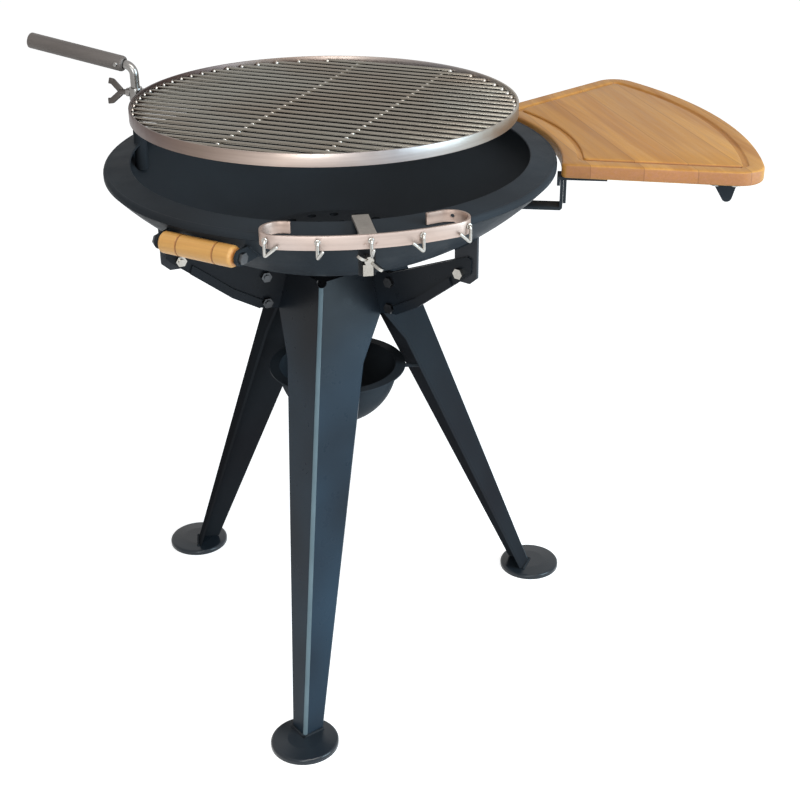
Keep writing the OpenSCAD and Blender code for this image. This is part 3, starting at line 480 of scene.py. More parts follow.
# %% [markdown]
# ## Helpers for pieces
# A new piece is a bmesh that becomes an object at the origin, with its place in its mesh, as the CAD nodes are.
# Most of this object is turned about its upright middle line, so pieces are drawn along +X, and `at` turns them to
# their azimuth.

# %% Helpers for pieces
def at(azimuth):
    """The turn that brings what is drawn along +X to an azimuth."""
    return Matrix.Rotation(math.radians(azimuth - 90), 4, "Z")


def as_object(name, mesh):
    """Makes an object of a bmesh, which is used up."""
    data = bpy.data.meshes.new(name)
    mesh.to_mesh(data)
    mesh.free()
    return in_scene(name, data)


def new_piece(name, mesh, body, worn, smooth_angle=40):
    """Makes an object of a bmesh, smooths it where it isn't sharp, dresses it, and lets it ride on a body."""
    bmesh.ops.recalc_face_normals(mesh, faces=mesh.faces)
    for face in mesh.faces:
        face.smooth = True
    for edge in mesh.edges:
        edge.smooth = edge.calc_face_angle(0.0) < math.radians(smooth_angle)
    piece = as_object(name, mesh)
    wear(piece, worn)
    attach(piece, body)
    print(name, "has", len(piece.data.polygons), "faces")
    return piece


# %% [markdown]
# Turned pieces, such as the grip or the sleeve, are a profile that is spun about an axis, as on a lathe. Real sheet and
# bar have no knife edges, so `soften` bevels every sharp edge a little, which also gives each rim its thin highlight.

# %% Turning and softening
SHARP = math.radians(50)


def turned(mesh, profile, place=None, steps=48, closed=False):
    """Turns a profile of (radius, height) about Z and puts the shape in its place by a matrix."""
    before = set(mesh.verts)
    points = [mesh.verts.new((radius, 0, height)) for radius, height in profile]
    edges = [mesh.edges.new(pair) for pair in zip(points, points[1:] + points[:1] * closed)]
    bmesh.ops.spin(mesh, geom=points + edges, axis=(0, 0, 1), cent=(0, 0, 0), angle=2 * math.pi, steps=steps,
                   use_merge=True)
    bmesh.ops.remove_doubles(mesh, verts=[v for v in mesh.verts if v not in before], dist=1e-6)
    made = [v for v in mesh.verts if v not in before]
    bmesh.ops.transform(mesh, matrix=place or Matrix.Identity(4), verts=made)


def tube(mesh, inner, outer, low, high, place=None, steps=48):
    """A tube or a ring with flat ends."""
    turned(mesh, [(inner, low), (outer, low), (outer, high), (inner, high)], place, steps, closed=True)


def bevelled(mesh, edges, offset, segments):
    """Rounds edges. The operator's own defaults differ from the editor's, so offset, segments, affect, profile and
    material are given.
    """
    bmesh.ops.bevel(mesh, geom=edges, offset=offset, segments=segments, affect="EDGES", profile=0.5, material=-1)


def soften(mesh, offset):
    """Bevels the edges where two faces meet sharply."""
    bmesh.ops.recalc_face_normals(mesh, faces=mesh.faces)
    sharp = [e for e in mesh.edges if len(e.link_faces) == 2 and e.calc_face_angle(0.0) > SHARP]
    bevelled(mesh, sharp, offset, segments=2)


def bar(mesh, size, place):
    """A block of flat bar with its middle at the origin, put in its place by a matrix."""
    bmesh.ops.create_cube(mesh, size=1, matrix=place @ Matrix.Diagonal((*size, 1)))


ALONG_X = Matrix.Rotation(math.radians(90), 4, "Y")

# %% [markdown]
# ## The side board
# The board is a slice of a ring with round corners, soft edges and a juice groove. CAD gives it square edges, and an
# edge of real wood is rounded by hand, so the board is built again here. Each outline is made of arcs, and an arc
# is one vertex spun about its centre. Outlines at several depths are bridged, and then the rims are bevelled.

# %% Side board
BOARD_IN, BOARD_OUT, BOARD_TOP, BOARD_T = 0.306, 0.567, 0.735, 0.019
BOARD_HALF = math.radians(51.5 / 2)
CORNER, INNER_CORNER, LEAST_CORNER = 0.034, 0.008, 0.003
GROOVE_IN, GROOVE_W, GROOVE_DEPTH, GROOVE_SLOPE = 0.020, 0.009, 0.003, 0.0015
EDGE_SOFT, GROOVE_RIM_SOFT, GROOVE_BED_SOFT = 0.003, 0.0009, 0.0012


def outline(mesh, inset, z):
    """The board's outline, moved inwards by inset, as a closed ring of edges at height z."""
    outer, inner = BOARD_OUT - inset, BOARD_IN + inset
    corner = max(CORNER - inset, LEAST_CORNER)
    far, near = outer - corner, inner + INNER_CORNER
    far_a = BOARD_HALF - math.asin((corner + inset) / far)
    near_a = BOARD_HALF - math.asin((INNER_CORNER + inset) / near)
    turn_out, turn_in = BOARD_HALF + math.pi / 2 - far_a, math.pi / 2 + near_a - BOARD_HALF
    middle = Vector((0, 0, z))
    far_up, far_down = (Vector((far * math.cos(far_a), s * far * math.sin(far_a), z)) for s in (1, -1))
    near_up, near_down = (Vector((near * math.cos(near_a), s * near * math.sin(near_a), z)) for s in (1, -1))
    arcs = [(middle, outer, -far_a, 2 * far_a, 40), (far_up, corner, far_a, turn_out, 10),
            (near_up, INNER_CORNER, BOARD_HALF + math.pi / 2, turn_in, 6), (middle, inner, near_a, -2 * near_a, 30),
            (near_down, INNER_CORNER, math.pi - near_a, turn_in, 6),
            (far_down, corner, -BOARD_HALF - math.pi / 2, turn_out, 10)]
    ring, ends = [], []
    for centre, radius, start, angle, steps in arcs:
        first = mesh.verts.new(centre + radius * Vector((math.cos(start), math.sin(start), 0)))
        spun = bmesh.ops.spin(mesh, geom=[first], cent=centre, axis=(0, 0, 1), angle=angle, steps=steps)
        last = [v for v in spun["geom_last"] if isinstance(v, bmesh.types.BMVert)][0]
        ends.append((first, last))
        walk, chain = first, [first]
        while walk is not last:
            walk = [e.other_vert(walk) for e in walk.link_edges if e.other_vert(walk) not in chain][0]
            chain.append(walk)
        ring += chain
    for (_, last), (first, _) in zip(ends, ends[1:] + ends[:1]):
        mesh.edges.new((last, first))
    bmesh.ops.remove_doubles(mesh, verts=ring, dist=1e-6)
    alive = {v for v in ring if v.is_valid}
    return [e for e in mesh.edges if e.verts[0] in alive and e.verts[1] in alive]


board_mesh = bmesh.new()
layers = [outline(board_mesh, inset, BOARD_TOP - depth) for inset, depth in (
    (0, BOARD_T), (0, 0), (GROOVE_IN, 0), (GROOVE_IN + GROOVE_SLOPE, GROOVE_DEPTH),
    (GROOVE_IN + GROOVE_W - GROOVE_SLOPE, GROOVE_DEPTH), (GROOVE_IN + GROOVE_W, 0))]
for lower, upper in zip(layers, layers[1:]):
    bmesh.ops.bridge_loops(board_mesh, edges=lower + upper)
for rim in (layers[0], layers[-1]):
    bmesh.ops.contextual_create(board_mesh, geom=rim)
bevelled(board_mesh, layers[0] + layers[1], EDGE_SOFT, segments=4)
for rim, softness in ((2, GROOVE_RIM_SOFT), (5, GROOVE_RIM_SOFT), (3, GROOVE_BED_SOFT), (4, GROOVE_BED_SOFT)):
    bevelled(board_mesh, layers[rim], softness, segments=2)
bmesh.ops.transform(board_mesh, matrix=at(BOARD_AZ), verts=board_mesh.verts)
board = new_piece("beech_board", board_mesh, "side_board", "board")
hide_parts("side_board")

# %% [markdown]
# ## The hooks
# Each hook is one bent wire. It comes through its hole in the band with a swollen end behind it that keeps it there,
# bends down, and turns up again to hold a tool. A ring of vertices is extruded from point to point along the wire,
# and the corners of its path are rounded first, because wire doesn't fold.

# %% Wire helpers
BEND_STEPS = 6


def rounded(corners, radius):
    """A path whose inner corners are replaced by short curves."""
    path = [Vector(corners[0])]
    for before, corner, after in zip(corners, corners[1:], corners[2:]):
        before, corner, after = Vector(before), Vector(corner), Vector(after)
        start = corner + (before - corner).normalized() * radius
        end = corner + (after - corner).normalized() * radius
        for i in range(BEND_STEPS + 1):
            t = i / BEND_STEPS
            path.append((1 - t) ** 2 * start + 2 * t * (1 - t) * corner + t ** 2 * end)
    return path + [Vector(corners[-1])]


def wire(mesh, path, sizes, sides=14):
    """A round wire through a path. sizes gives its radius at each point."""
    frames, direction = [], (path[1] - path[0]).normalized()
    turn = Vector((0, 0, 1)).rotation_difference(direction)
    for i, point in enumerate(path):
        ahead = (path[min(i + 1, len(path) - 1)] - path[max(i - 1, 0)]).normalized()
        turn = direction.rotation_difference(ahead) @ turn
        direction = ahead
        frames.append(Matrix.Translation(point) @ turn.to_matrix().to_4x4() @ Matrix.Scale(sizes[i], 4))
    made = bmesh.ops.create_circle(mesh, segments=sides, radius=1, cap_ends=True, matrix=frames[0])
    ring = list(dict.fromkeys(e for v in made["verts"] for e in v.link_edges))
    for last, here in zip(frames, frames[1:]):
        grown = bmesh.ops.extrude_edge_only(mesh, edges=ring)["geom"]
        ring = [e for e in grown if isinstance(e, bmesh.types.BMEdge) and all(v in grown for v in e.verts)]
        ends = [v for v in grown if isinstance(v, bmesh.types.BMVert)]
        bmesh.ops.transform(mesh, matrix=here @ last.inverted(), verts=ends)
    bmesh.ops.contextual_create(mesh, geom=ring)


# %% Hooks
RAIL_R, RAIL_AZ, HOOK_STEP, HOLE_Z = 0.341, 18, 10.2, 0.741
WIRE_R, HOOK_BACK, HOOK_DROP, HOOK_REACH, HOOK_BEND = 0.002, 0.0125, 0.019, 0.015, 0.0032
BALL_BACK, WIRE_FROM, HOOK_OFF = 0.003, 0.004, 0.0012  # behind and before HOOK_BACK, and from the band to the wire
HOOK_OPEN = math.radians(48)
HOOK_HEADINGS = (80, 25, 0, -70, -80)
BEND_BACK = 0.0022  # how far the band lies further back at the first and the last hook
COLLAR = ((0.0018, 0.0001), (0.0032, 0.0001), (0.0036, 0.0005), (0.0036, 0.0010), (0.0031, 0.0014), (0.0018, 0.0014))
END_BALL = ((0.0, 0.0006), (0.0006, 0.0021), (0.0016, 0.0029), (0.0028, 0.0032), (0.0042, 0.0029), (0.0056, 0.0021))
TOE = ((0.0010, 0.00175), (0.0017, 0.0012), (0.0020, 0.0004))  # how far past the tip, and how thick

for number, heading in enumerate(HOOK_HEADINGS, 1):
    out_of_band = Vector((math.cos(math.radians(heading)), math.sin(math.radians(heading)), 0))
    tip = out_of_band * HOOK_REACH + Vector((0, 0, HOOK_REACH / math.tan(HOOK_OPEN) - HOOK_DROP))
    bend = Vector((0, 0, -HOOK_DROP))
    path = rounded([(-HOOK_BACK + WIRE_FROM, 0, 0), (0, 0, 0), bend, tip], HOOK_BEND)
    path = [Vector((x - HOOK_BACK - BALL_BACK, 0, 0)) for x, _ in END_BALL] + path
    toe = (tip - bend).normalized()
    sizes = [r for _, r in END_BALL] + [WIRE_R] * (len(path) - len(END_BALL)) + [r for _, r in TOE]
    path += [tip + toe * x for x, _ in TOE]
    hook_mesh = bmesh.new()
    wire(hook_mesh, path, sizes)
    turned(hook_mesh, COLLAR, Matrix.Translation((-WIRE_R - HOOK_OFF, 0, 0)) @ ALONG_X, steps=20, closed=True)
    on_bend = BEND_BACK if number in (1, 5) else 0.0
    bmesh.ops.transform(hook_mesh, verts=hook_mesh.verts, matrix=at(RAIL_AZ + (number - 3) * HOOK_STEP)
                        @ Matrix.Translation((RAIL_R + WIRE_R + HOOK_OFF - on_bend, 0, HOLE_Z)))
    hook = new_piece(f"bent_hook_{number}", hook_mesh, f"hook_{number}", "zinc", smooth_angle=60)
    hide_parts(f"hook_{number}")

# %% [markdown]
# ## The tool rail
# The rail is one flat band that is bent round at both ends, and its ends rest on the brim. Its middle line is five
# arcs, and an arc is one vertex spun about its centre. The line is extruded to the band's height, and modifiers give
# it thickness, drill the holes for the hooks, and soften the rims. The result is taken as the piece's own mesh, so
# that the drill can be thrown away.

# %% Tool rail
BAND_T, BAND_TOP, BAND_H, END_R, REST_Z = 0.003, 0.748, 0.017, 0.294, 0.7337
BAND_HALF, LEFT_END, RIGHT_END = math.radians(18.2), math.radians(1.4), math.radians(3.6)
HOLE_R, END_HOLE_R, END_HOLE_TURN = 0.0023, 0.0026, math.radians(142)
DRILL_L, END_DRILL_L, RIM = 0.03, 0.016, 0.0005
ENDS_WITHIN = 0.3015  # what lies closer to the middle line belongs to the short ends

band_r = RAIL_R - BAND_T / 2
bend_at, bend_r = (band_r + END_R) / 2, (band_r - END_R) / 2
left_bend, right_bend = (Vector((bend_at * math.cos(a), bend_at * math.sin(a), 0)) for a in (-BAND_HALF, BAND_HALF))
rail_arcs = [  # centre, radius, start and sweep of each arc, and how many steps it has
    ((0, 0, 0), END_R, LEFT_END - BAND_HALF, -LEFT_END, 3), (left_bend, bend_r, -BAND_HALF - math.pi, math.pi, 20),
    ((0, 0, 0), band_r, -BAND_HALF, 2 * BAND_HALF, 48), (right_bend, bend_r, BAND_HALF, math.pi, 20),
    ((0, 0, 0), END_R, BAND_HALF, -RIGHT_END, 4)]
rail_mesh = bmesh.new()
for centre, radius, start, sweep, steps in rail_arcs:
    first = rail_mesh.verts.new(Vector(centre) + radius * Vector((math.cos(start), math.sin(start), 0)))
    bmesh.ops.spin(rail_mesh, geom=[first], cent=centre, axis=(0, 0, 1), angle=sweep, steps=steps)
bmesh.ops.remove_doubles(rail_mesh, verts=rail_mesh.verts, dist=1e-5)
for vert in rail_mesh.verts:
    vert.co.z = REST_Z if vert.co.xy.length < ENDS_WITHIN else BAND_TOP - BAND_H
raised = bmesh.ops.extrude_edge_only(rail_mesh, edges=rail_mesh.edges)["geom"]
for vert in (v for v in raised if isinstance(v, bmesh.types.BMVert)):
    vert.co.z = BAND_TOP
bmesh.ops.transform(rail_mesh, matrix=at(RAIL_AZ), verts=rail_mesh.verts)

drill_mesh = bmesh.new()


def bore(radius, depth, place):
    """One drill along X, put in its place by a matrix."""
    bmesh.ops.create_cone(drill_mesh, cap_ends=True, segments=24, radius1=radius, radius2=radius, depth=depth,
                          matrix=place @ ALONG_X)


for i in range(-2, 3):
    bore(HOLE_R, DRILL_L, at(RAIL_AZ + i * HOOK_STEP) @ Matrix.Translation((band_r, 0, HOLE_Z)))
bore(END_HOLE_R, END_DRILL_L, at(RAIL_AZ) @ Matrix.Translation(right_bend + Vector((0, 0, HOLE_Z)))
     @ Matrix.Rotation(BAND_HALF + END_HOLE_TURN, 4, "Z") @ Matrix.Translation((bend_r, 0, 0)))
raw_rail, drill = as_object("raw_rail", rail_mesh), as_object("drill", drill_mesh)
wall = raw_rail.modifiers.new("wall", "SOLIDIFY")
wall.thickness, wall.offset = BAND_T, 0.0
holes = raw_rail.modifiers.new("holes", "BOOLEAN")
holes.object, holes.operation, holes.solver = drill, "DIFFERENCE", "EXACT"
rims = raw_rail.modifiers.new("rims", "BEVEL")
rims.width, rims.segments, rims.limit_method, rims.angle_limit = RIM, 2, "ANGLE", math.radians(40)
drilled = bpy.data.meshes.new_from_object(raw_rail.evaluated_get(bpy.context.evaluated_depsgraph_get()))
band_mesh = bmesh.new()
band_mesh.from_mesh(drilled)
for thing in (raw_rail, drill):
    bpy.data.objects.remove(thing)
bent_rail = new_piece("bent_tool_rail", band_mesh, "stand_and_bowl", "rail")
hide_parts("tool_rail")

# %% [markdown]
# ## The grate
# A grate that has been used sags on its arm. The ring is a flat bar, rolled on edge and welded shut, and the rods
# lie just under its top. Rods have round ends, because they are cut and dressed. All of it is made level, about its
# own middle, and is then set down with the lean that the photograph shows.

# %% Grate
GRATE_R, GRATE_TOP, RING_H, RING_T = 0.2527, 0.8113, 0.016, 0.003
GRATE_AT, GRATE_LEAN = (-0.0046, -0.0099), -0.0286
ROD_PITCH, ROD_R, ROD_COUNT, ROD_DROP = 0.019, 0.00275, 25, 0.003
CROSS_AT, CROSS_R = (0.088, -0.047), 0.003

set_down = Matrix.Translation((*GRATE_AT, GRATE_TOP)) @ Matrix.Rotation(GRATE_LEAN, 4, "X")
turned_rods = set_down @ Matrix.Rotation(ROD_TURN, 4, "Z")
ring_in = GRATE_R - RING_T
rod_z = -ROD_DROP - ROD_R
cross_z = rod_z - ROD_R - CROSS_R

ring_mesh = bmesh.new()
tube(ring_mesh, ring_in, GRATE_R, -RING_H, 0, steps=144)
soften(ring_mesh, 0.0007)
bmesh.ops.transform(ring_mesh, matrix=set_down, verts=ring_mesh.verts)
ring_piece = new_piece("rolled_ring", ring_mesh, "cooking_grate", "band")
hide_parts("grate_ring")


def round_bar(mesh, half, radius, place):
    """A bar along X with round ends, its middle at the origin before it is put in its place."""
    angles = [math.radians(a) for a in (15, 40, 65, 90)]
    dome = [(radius * math.cos(a), half - radius * (1 - math.sin(a))) for a in angles]
    profile = [(0, -half)] + [(r, -z) for r, z in dome[-2::-1]] + dome
    profile[-1] = (0, half)
    turned(mesh, profile, place @ ALONG_X, steps=16)


def reach(offset, radius):
    """Half of the length of a bar that runs inside the ring at a distance from its middle."""
    return math.sqrt(ring_in ** 2 - (abs(offset) + radius) ** 2)


rod_mesh, cross_mesh = bmesh.new(), bmesh.new()
rod_offsets = [(i - (ROD_COUNT - 1) / 2) * ROD_PITCH for i in range(ROD_COUNT)]
for offset in rod_offsets:
    round_bar(rod_mesh, reach(offset, ROD_R), ROD_R, turned_rods @ Matrix.Translation((0, offset, rod_z)))
for x in CROSS_AT:
    round_bar(cross_mesh, reach(x, CROSS_R), CROSS_R,
              turned_rods @ Matrix.Translation((x, 0, cross_z)) @ Matrix.Rotation(math.radians(90), 4, "Z"))
rods = new_piece("round_rods", rod_mesh, "cooking_grate", "rod", smooth_angle=50)
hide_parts("grate_rods")
cross_bars = new_piece("round_cross_bars", cross_mesh, "cooking_grate", "rod", smooth_angle=50)
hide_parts("grate_cross_bars")

# %% [markdown]
# ## The post and its handle
# The post is a bent bar of 12 mm. It turns in a tube that stands on the bowl's socket, carries the grate on a sleeve
# with a screw, and ends in a grip. Its path is an upright, a round bend and a handle that rises a little, all in the
# plane of the handle, so they are drawn in a frame whose Z is the post and whose X is the handle's heading.

# %% Post
POST_AZ, POST_AT, POST_R = -93, 0.267, 0.006
POST_FOOT, POST_TOP, BEND_R, RISE = 0.7036, 0.8425, 0.013, math.radians(9.7)
PIN = ((POST_FOOT, 0.0040), (POST_FOOT + 0.001, 0.0049), (0.7395, 0.0049), (0.7400, POST_R))  # heights and radii
GRIP_START, GRIP_L, GRIP_R, INTO_GRIP = 0.015, 0.140, 0.0105, 0.02

heading = Matrix.Rotation(math.radians(POST_AZ - HANDLE_AZ), 4, "Z").inverted()
post_place = at(POST_AZ) @ Matrix.Translation((POST_AT, 0, 0)) @ heading
bend_centre = Vector((BEND_R, 0, POST_TOP - BEND_R))
bend = [bend_centre + BEND_R * Vector((-math.cos(a), 0, math.sin(a))) for a in
        [(math.radians(90) - RISE) * i / 10 for i in range(11)]]
handle_way = Vector((math.cos(RISE), 0, math.sin(RISE)))
handle = bend[-1] + handle_way * (GRIP_START - BEND_R)
post_path = [Vector((0, 0, z)) for z, _ in PIN] + bend + [handle + handle_way * INTO_GRIP]
post_sizes = [r for _, r in PIN] + [POST_R] * (len(post_path) - len(PIN))
post_mesh = bmesh.new()
wire(post_mesh, post_path, post_sizes, sides=28)
bmesh.ops.transform(post_mesh, matrix=post_place, verts=post_mesh.verts)
bent_post = new_piece("bent_post", post_mesh, "swing_post", "post", smooth_angle=50)
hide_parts("swing_post")

# %% Tube and sleeve
BORE_R, TUBE_R, TUBE_LOW, TUBE_TOP = POST_R + 0.0001, 0.0088, 0.7398, 0.754
SLEEVE_R, SLEEVE_LOW, SLEEVE_HIGH, SCREW_Z = 0.009, 0.7955, 0.8125, 0.805
BOSS = (0.0032, 0.0058, 0.0072, 0.0130)  # inner and outer radius of the screw's seat, and where it starts and ends
LUG_W, LUG_H, LUG_Z, LUG_SUNK = 0.011, 0.0135, 0.8035, 0.0012  # the bar between the sleeve and the ring

tube_mesh = bmesh.new()
tube(tube_mesh, BORE_R, TUBE_R, TUBE_LOW, TUBE_TOP, post_place)
soften(tube_mesh, 0.0006)
new_piece("post_tube", tube_mesh, "stand_and_bowl", "enamel")

sleeve_mesh = bmesh.new()
tube(sleeve_mesh, BORE_R, SLEEVE_R, SLEEVE_LOW, SLEEVE_HIGH, post_place)
tube(sleeve_mesh, *BOSS, post_place @ Matrix.Translation((0, 0, SCREW_Z)) @ ALONG_X, steps=24)
to_ring = Vector((*GRATE_AT, 0)) - post_place.translation
to_ring.z = 0
lug_from, lug_to = SLEEVE_R - LUG_SUNK, to_ring.length - GRATE_R + LUG_SUNK
bar(sleeve_mesh, (lug_to - lug_from, LUG_W, LUG_H),
    Matrix.Translation((post_place.translation.x, post_place.translation.y, LUG_Z))
    @ Matrix.Rotation(math.atan2(to_ring.y, to_ring.x), 4, "Z") @ Matrix.Translation(((lug_to + lug_from) / 2, 0, 0)))
soften(sleeve_mesh, 0.0005)
sleeve = new_piece("ring_sleeve", sleeve_mesh, "cooking_grate", "post")
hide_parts("grate_sleeve")

# %% Forked screw
SHAFT_R, FORK_AT, ARM_L, ARM_W, ARM_T, ARM_OPEN = 0.0038, 0.0215, 0.0185, 0.0080, 0.0046, math.radians(42)
SHAFT_END, TOE_L, TOE_TURN, FORK_TURN = FORK_AT + 0.002, 0.0065, math.radians(-34), math.radians(14)
SHAFT = [(0, 0.0064), (0.0030, 0.0064), (0.0030, 0.0126), (SHAFT_R, 0.0131), (SHAFT_R, SHAFT_END), (0, SHAFT_END)]

screw_place = post_place @ Matrix.Translation((0, 0, SCREW_Z)) @ Matrix.Rotation(FORK_TURN, 4, "X")
screw_mesh = bmesh.new()
turned(screw_mesh, SHAFT, screw_place @ ALONG_X, steps=24)
for side in (-1, 1):
    lean = Matrix.Rotation(-side * ARM_OPEN, 4, "Y")
    arm = screw_place @ Matrix.Translation((FORK_AT, 0, side * 0.001)) @ lean
    toe = arm @ Matrix.Translation((ARM_L - 0.001, 0, 0)) @ Matrix.Rotation(-side * TOE_TURN, 4, "Y")
    bar(screw_mesh, (ARM_L, ARM_T, ARM_W), arm @ Matrix.Translation((ARM_L / 2, 0, 0)))
    bar(screw_mesh, (TOE_L, ARM_T * 0.98, ARM_W), toe @ Matrix.Translation((TOE_L / 2 - 0.001, 0, 0)))
soften(screw_mesh, 0.0008)
forked_screw = new_piece("forked_screw", screw_mesh, "grate_wing_screw", "fork")
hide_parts("grate_wing_screw")

# %% Grip
RIVET_FROM_END, RIVET_R, RIVET_RISE = 0.009, 0.0034, 0.0013

grip_place = post_place @ Matrix.Translation(handle) @ Matrix.Rotation(math.radians(90) - RISE, 4, "Y")
near_end = [(BORE_R, 0.0016), (POST_R + 0.0008, 0.0006), (0.0078, 0.0), (0.0092, 0.0007), (0.0101, 0.0021),
            (GRIP_R, 0.0042)]
far_end = [(GRIP_R, GRIP_L - 0.0022), (0.0101, GRIP_L - 0.0008), (0.0092, GRIP_L), (0.0078, GRIP_L - 0.0002),
           (0.0070, GRIP_L - 0.0012), (0, GRIP_L - 0.0014)]
grip_mesh = bmesh.new()
turned(grip_mesh, near_end + far_end, grip_place)
hand_grip = new_piece("hand_grip", grip_mesh, "swing_post", "grip", smooth_angle=60)
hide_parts("grip_tube")

rivet_mesh = bmesh.new()
head = [(0, RIVET_RISE), (RIVET_R * 0.55, RIVET_RISE * 0.86), (RIVET_R * 0.88, RIVET_RISE * 0.5), (RIVET_R, -0.0006),
        (0, -0.0006)]
rivet_at = grip_place @ Matrix.Translation((0, 0, RIVET_FROM_END))
for side in (-90, 90):
    outward = Matrix.Rotation(math.radians(side), 4, "X") @ Matrix.Translation((0, 0, GRIP_R))
    turned(rivet_mesh, head, rivet_at @ outward, steps=24)
rivet_heads = new_piece("rivet_heads", rivet_mesh, "swing_post", "post", smooth_angle=70)
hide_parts("grip_rivet")

# %% [markdown]
# ## Welds
# The grate's rods are welded into the ring and onto the two cross bars. Each spot leaves a small bright lump, and on
# the cross bars these show between the rods. The tabs, lugs and brackets are welded to the bowl, and the feet to the
# legs, with seams: rows of lumps that overlap like fallen coins. One helper drops a squashed lump at a place, and
# another walks it along a line.

# %% Weld helpers
def lump(mesh, place, size, squash=(1, 1, 0.7)):
    """One flattened drop of weld."""
    matrix = Matrix.Translation(place) @ Matrix.Diagonal((*squash, 1))
    bmesh.ops.create_icosphere(mesh, subdivisions=1, radius=size, matrix=matrix)


def seam(mesh, path, size):
    """A row of lumps along a path of points, each a little different from the last."""
    walked = 0.0
    for start, end in zip(path, path[1:]):
        start, end = Vector(start), Vector(end)
        length = (end - start).length
        while walked < length:
            wobble = 1 + 0.12 * math.sin(53 * (start.x + start.y) + 900 * walked)
            lump(mesh, start.lerp(end, walked / length), size * wobble, squash=(1, 1, 1))
            walked += size * 0.9
        walked -= length


# %% Grate welds
RING_SPOT, CROSS_SPOT, BAR_SPOT = 0.0044, 0.0024, 0.0036  # at a rod's end, beside a rod on a cross bar, at a bar's end

weld_mesh = bmesh.new()
for offset in rod_offsets:
    half = reach(offset, ROD_R)
    for side in (-1, 1):
        lump(weld_mesh, (side * (half - 0.0012), offset, rod_z - 0.001), RING_SPOT, (0.9, 1.15, 0.9))
    for x in (x for x in CROSS_AT if abs(x) < half - 0.01):
        for side in (-1, 1):
            lump(weld_mesh, (x, offset + side * 0.0034, rod_z - ROD_R + 0.0008), CROSS_SPOT, (1.3, 0.8, 0.8))
for x in CROSS_AT:
    for side in (-1, 1):
        lump(weld_mesh, (x, side * (reach(x, CROSS_R) - 0.001), cross_z), BAR_SPOT)
bmesh.ops.transform(weld_mesh, verts=weld_mesh.verts, matrix=turned_rods)
new_piece("grate_weld_spots", weld_mesh, "cooking_grate", "weld", smooth_angle=80)

# %% [markdown]
# The seams on the bowl lie on its outside, which is part of a ball with its centre high above. `ball_r` gives how
# far from the middle the sheet is at a height, and `ball_z` the other way round.

# %% Bowl and foot seams
DISH_R, DISH_C = 0.406, 0.9979
TAB_AZ = (60, 180, 300)
CARRY_Z, LUG_AT, LUG_T = 0.702, 0.058, 0.004
STRAP_AZ, STRAP_T, BRACKET_Z = (91.2, 136.3), 0.004, 0.674
FOOT_R, FOOT_H, FLANGE_W, SEAM, FOOT_SEAM = 0.319, 0.010, 0.031, 0.0021, 0.0024
SEAM_OFF = 0.0004  # how far a seam's middle stands off the faces that it joins


def ball_r(z):
    """How far from the middle line the outside of the bowl is at a height."""
    return math.sqrt(DISH_R ** 2 - (DISH_C - z) ** 2)


def ball_z(r):
    """At what height the outside of the bowl is at a distance from the middle line."""
    return DISH_C - math.sqrt(DISH_R ** 2 - r ** 2)


def on_ball(y, z):
    """The point of the bowl's outside at a sideways distance and a height."""
    return Vector((math.sqrt(ball_r(z) ** 2 - y ** 2), y, z))


seam_mesh = bmesh.new()


def turned_seam(path, azimuth, size=SEAM):
    """A seam whose path is drawn as if it were at +X."""
    turn = at(azimuth)
    seam(seam_mesh, [turn @ Vector(p) for p in path], size)


for azimuth in TAB_AZ:
    for y in (-0.0024, 0.0024):
        turned_seam([(r, y, ball_z(math.hypot(r, y)) - SEAM_OFF) for r in (0.208, 0.216, 0.224, 0.232, 0.239)], azimuth)
for azimuth in (CARRY_AZ, CARRY_AZ + 180):
    for side in (-LUG_AT, LUG_AT):
        for y in (side - LUG_T / 2 - SEAM_OFF, side + LUG_T / 2 + SEAM_OFF):
            turned_seam([on_ball(y, CARRY_Z + z) for z in (-0.0095, -0.003, 0.003, 0.0095)], azimuth)
for azimuth in STRAP_AZ:
    for z in (BRACKET_Z + SEAM_OFF, BRACKET_Z - STRAP_T - SEAM_OFF):
        turned_seam([on_ball(y, z) for y in (-0.0118, -0.004, 0.004, 0.0118)], azimuth)
flange_slope = FLANGE_W / math.sqrt(2)
for azimuth in LEG_AZ.values():
    corner = (FOOT_R + 0.0006, 0, FOOT_H)
    for side in (-1, 1):
        flange_end = (FOOT_R - flange_slope + 0.0006, side * flange_slope * 1.02, FOOT_H)
        turned_seam([corner, flange_end], azimuth, FOOT_SEAM)
new_piece("weld_seams", seam_mesh, "stand_and_bowl", "enamel", smooth_angle=80)

# %% [markdown]
# ## Floor, light and background
# The photograph has a white background. The floor is a plain pale disc that takes the object's shadow, and a part of
# its white comes from its own colour, for camera and mirror rays only, so that it is white without more light on the
# object. A soft upright lamp in front is what the legs' folds mirror, and a broad, slightly warm one hangs above, right
# of the middle. The strongest is bluish and stands at the right, where the photograph's enamel turns blue, and an even
# sky fills in.

# %% Floor
FLOOR_R, FLOOR_GLOW = 14.0, 0.74

floor_mesh = bmesh.new()
bmesh.ops.create_circle(floor_mesh, cap_ends=True, radius=FLOOR_R, segments=64)
floor = as_object("floor", floor_mesh)


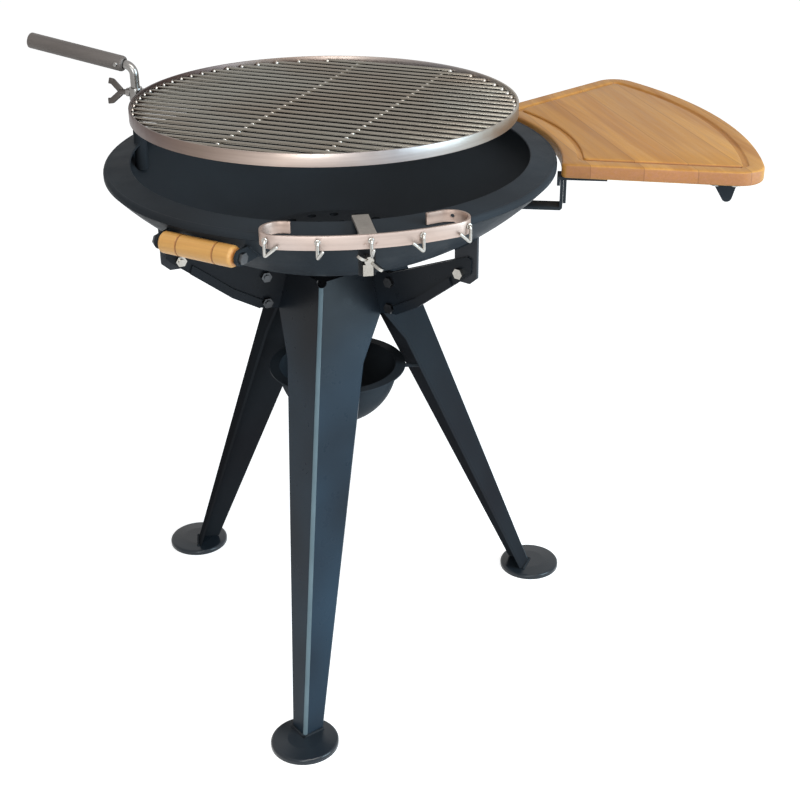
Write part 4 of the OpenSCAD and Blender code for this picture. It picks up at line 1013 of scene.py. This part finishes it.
def seen_directly(tree):
    """1 for what the camera sees, itself or in a mirror or through glass, and 0 for light on the object."""
    rays = step(tree, "LightPath", {})
    either = maths(tree, "MAXIMUM", rays["Is Camera Ray"], rays["Is Glossy Ray"])
    return maths(tree, "MAXIMUM", either, rays["Is Transmission Ray"])


floor_paint = bpy.data.materials.new("floor_paint")
floor_paint.use_nodes = True
tree = floor_paint.node_tree
tree.nodes.clear()
matt = step(tree, "BsdfDiffuse", {"Color": (0.8, 0.8, 0.8, 1)})[0]
glow = step(tree, "Emission", {"Strength": maths(tree, "MULTIPLY", seen_directly(tree), FLOOR_GLOW)})[0]
both = step(tree, "AddShader", {0: matt, 1: glow})[0]
step(tree, "OutputMaterial", {"Surface": both})
floor.data.materials.append(floor_paint)

# %% Sky and lamps
SKY_LEVEL = 0.3
LAMPS = {  # where it hangs, what it looks at, its width and height in metres, its power in watts and its colour
    "front": ((0.25, -2.6, 1.3), (0.0, 0.0, 0.6), 0.8, 1.0, 24, (0.9, 0.97, 1.0)),
    "top": ((0.9, -1.1, 2.5), (0.0, 0.0, 0.7), 1.3, 1.3, 31, (1.0, 0.97, 0.93)),
    "side": ((2.3, -0.6, 1.2), (0.0, 0.0, 0.6), 1.2, 1.6, 58, (0.62, 0.85, 1.0)),
}

sky = bpy.data.worlds.new("sky")
bpy.context.scene.world = sky
sky.use_nodes = True
tree = sky.node_tree
background = tree.nodes["Background"]
background.inputs["Color"].default_value = (1, 1, 1, 1)
tree.links.new(spread(tree, seen_directly(tree), SKY_LEVEL, 1.0, 0.0, 1.0), background.inputs["Strength"])

for name, (place, target, width, height, watts, colour) in LAMPS.items():
    lamp = bpy.data.lights.new(name, "AREA")
    lamp.shape, lamp.size, lamp.size_y, lamp.energy = "RECTANGLE", width, height, watts
    lamp.color = colour
    hung = in_scene(name, lamp)
    hung.location = place
    hung.rotation_euler = (Vector(target) - Vector(place)).to_track_quat("-Z", "Y").to_euler()
bpy.context.scene.view_settings.view_transform = "Standard"
print("lamps:", ", ".join(LAMPS))
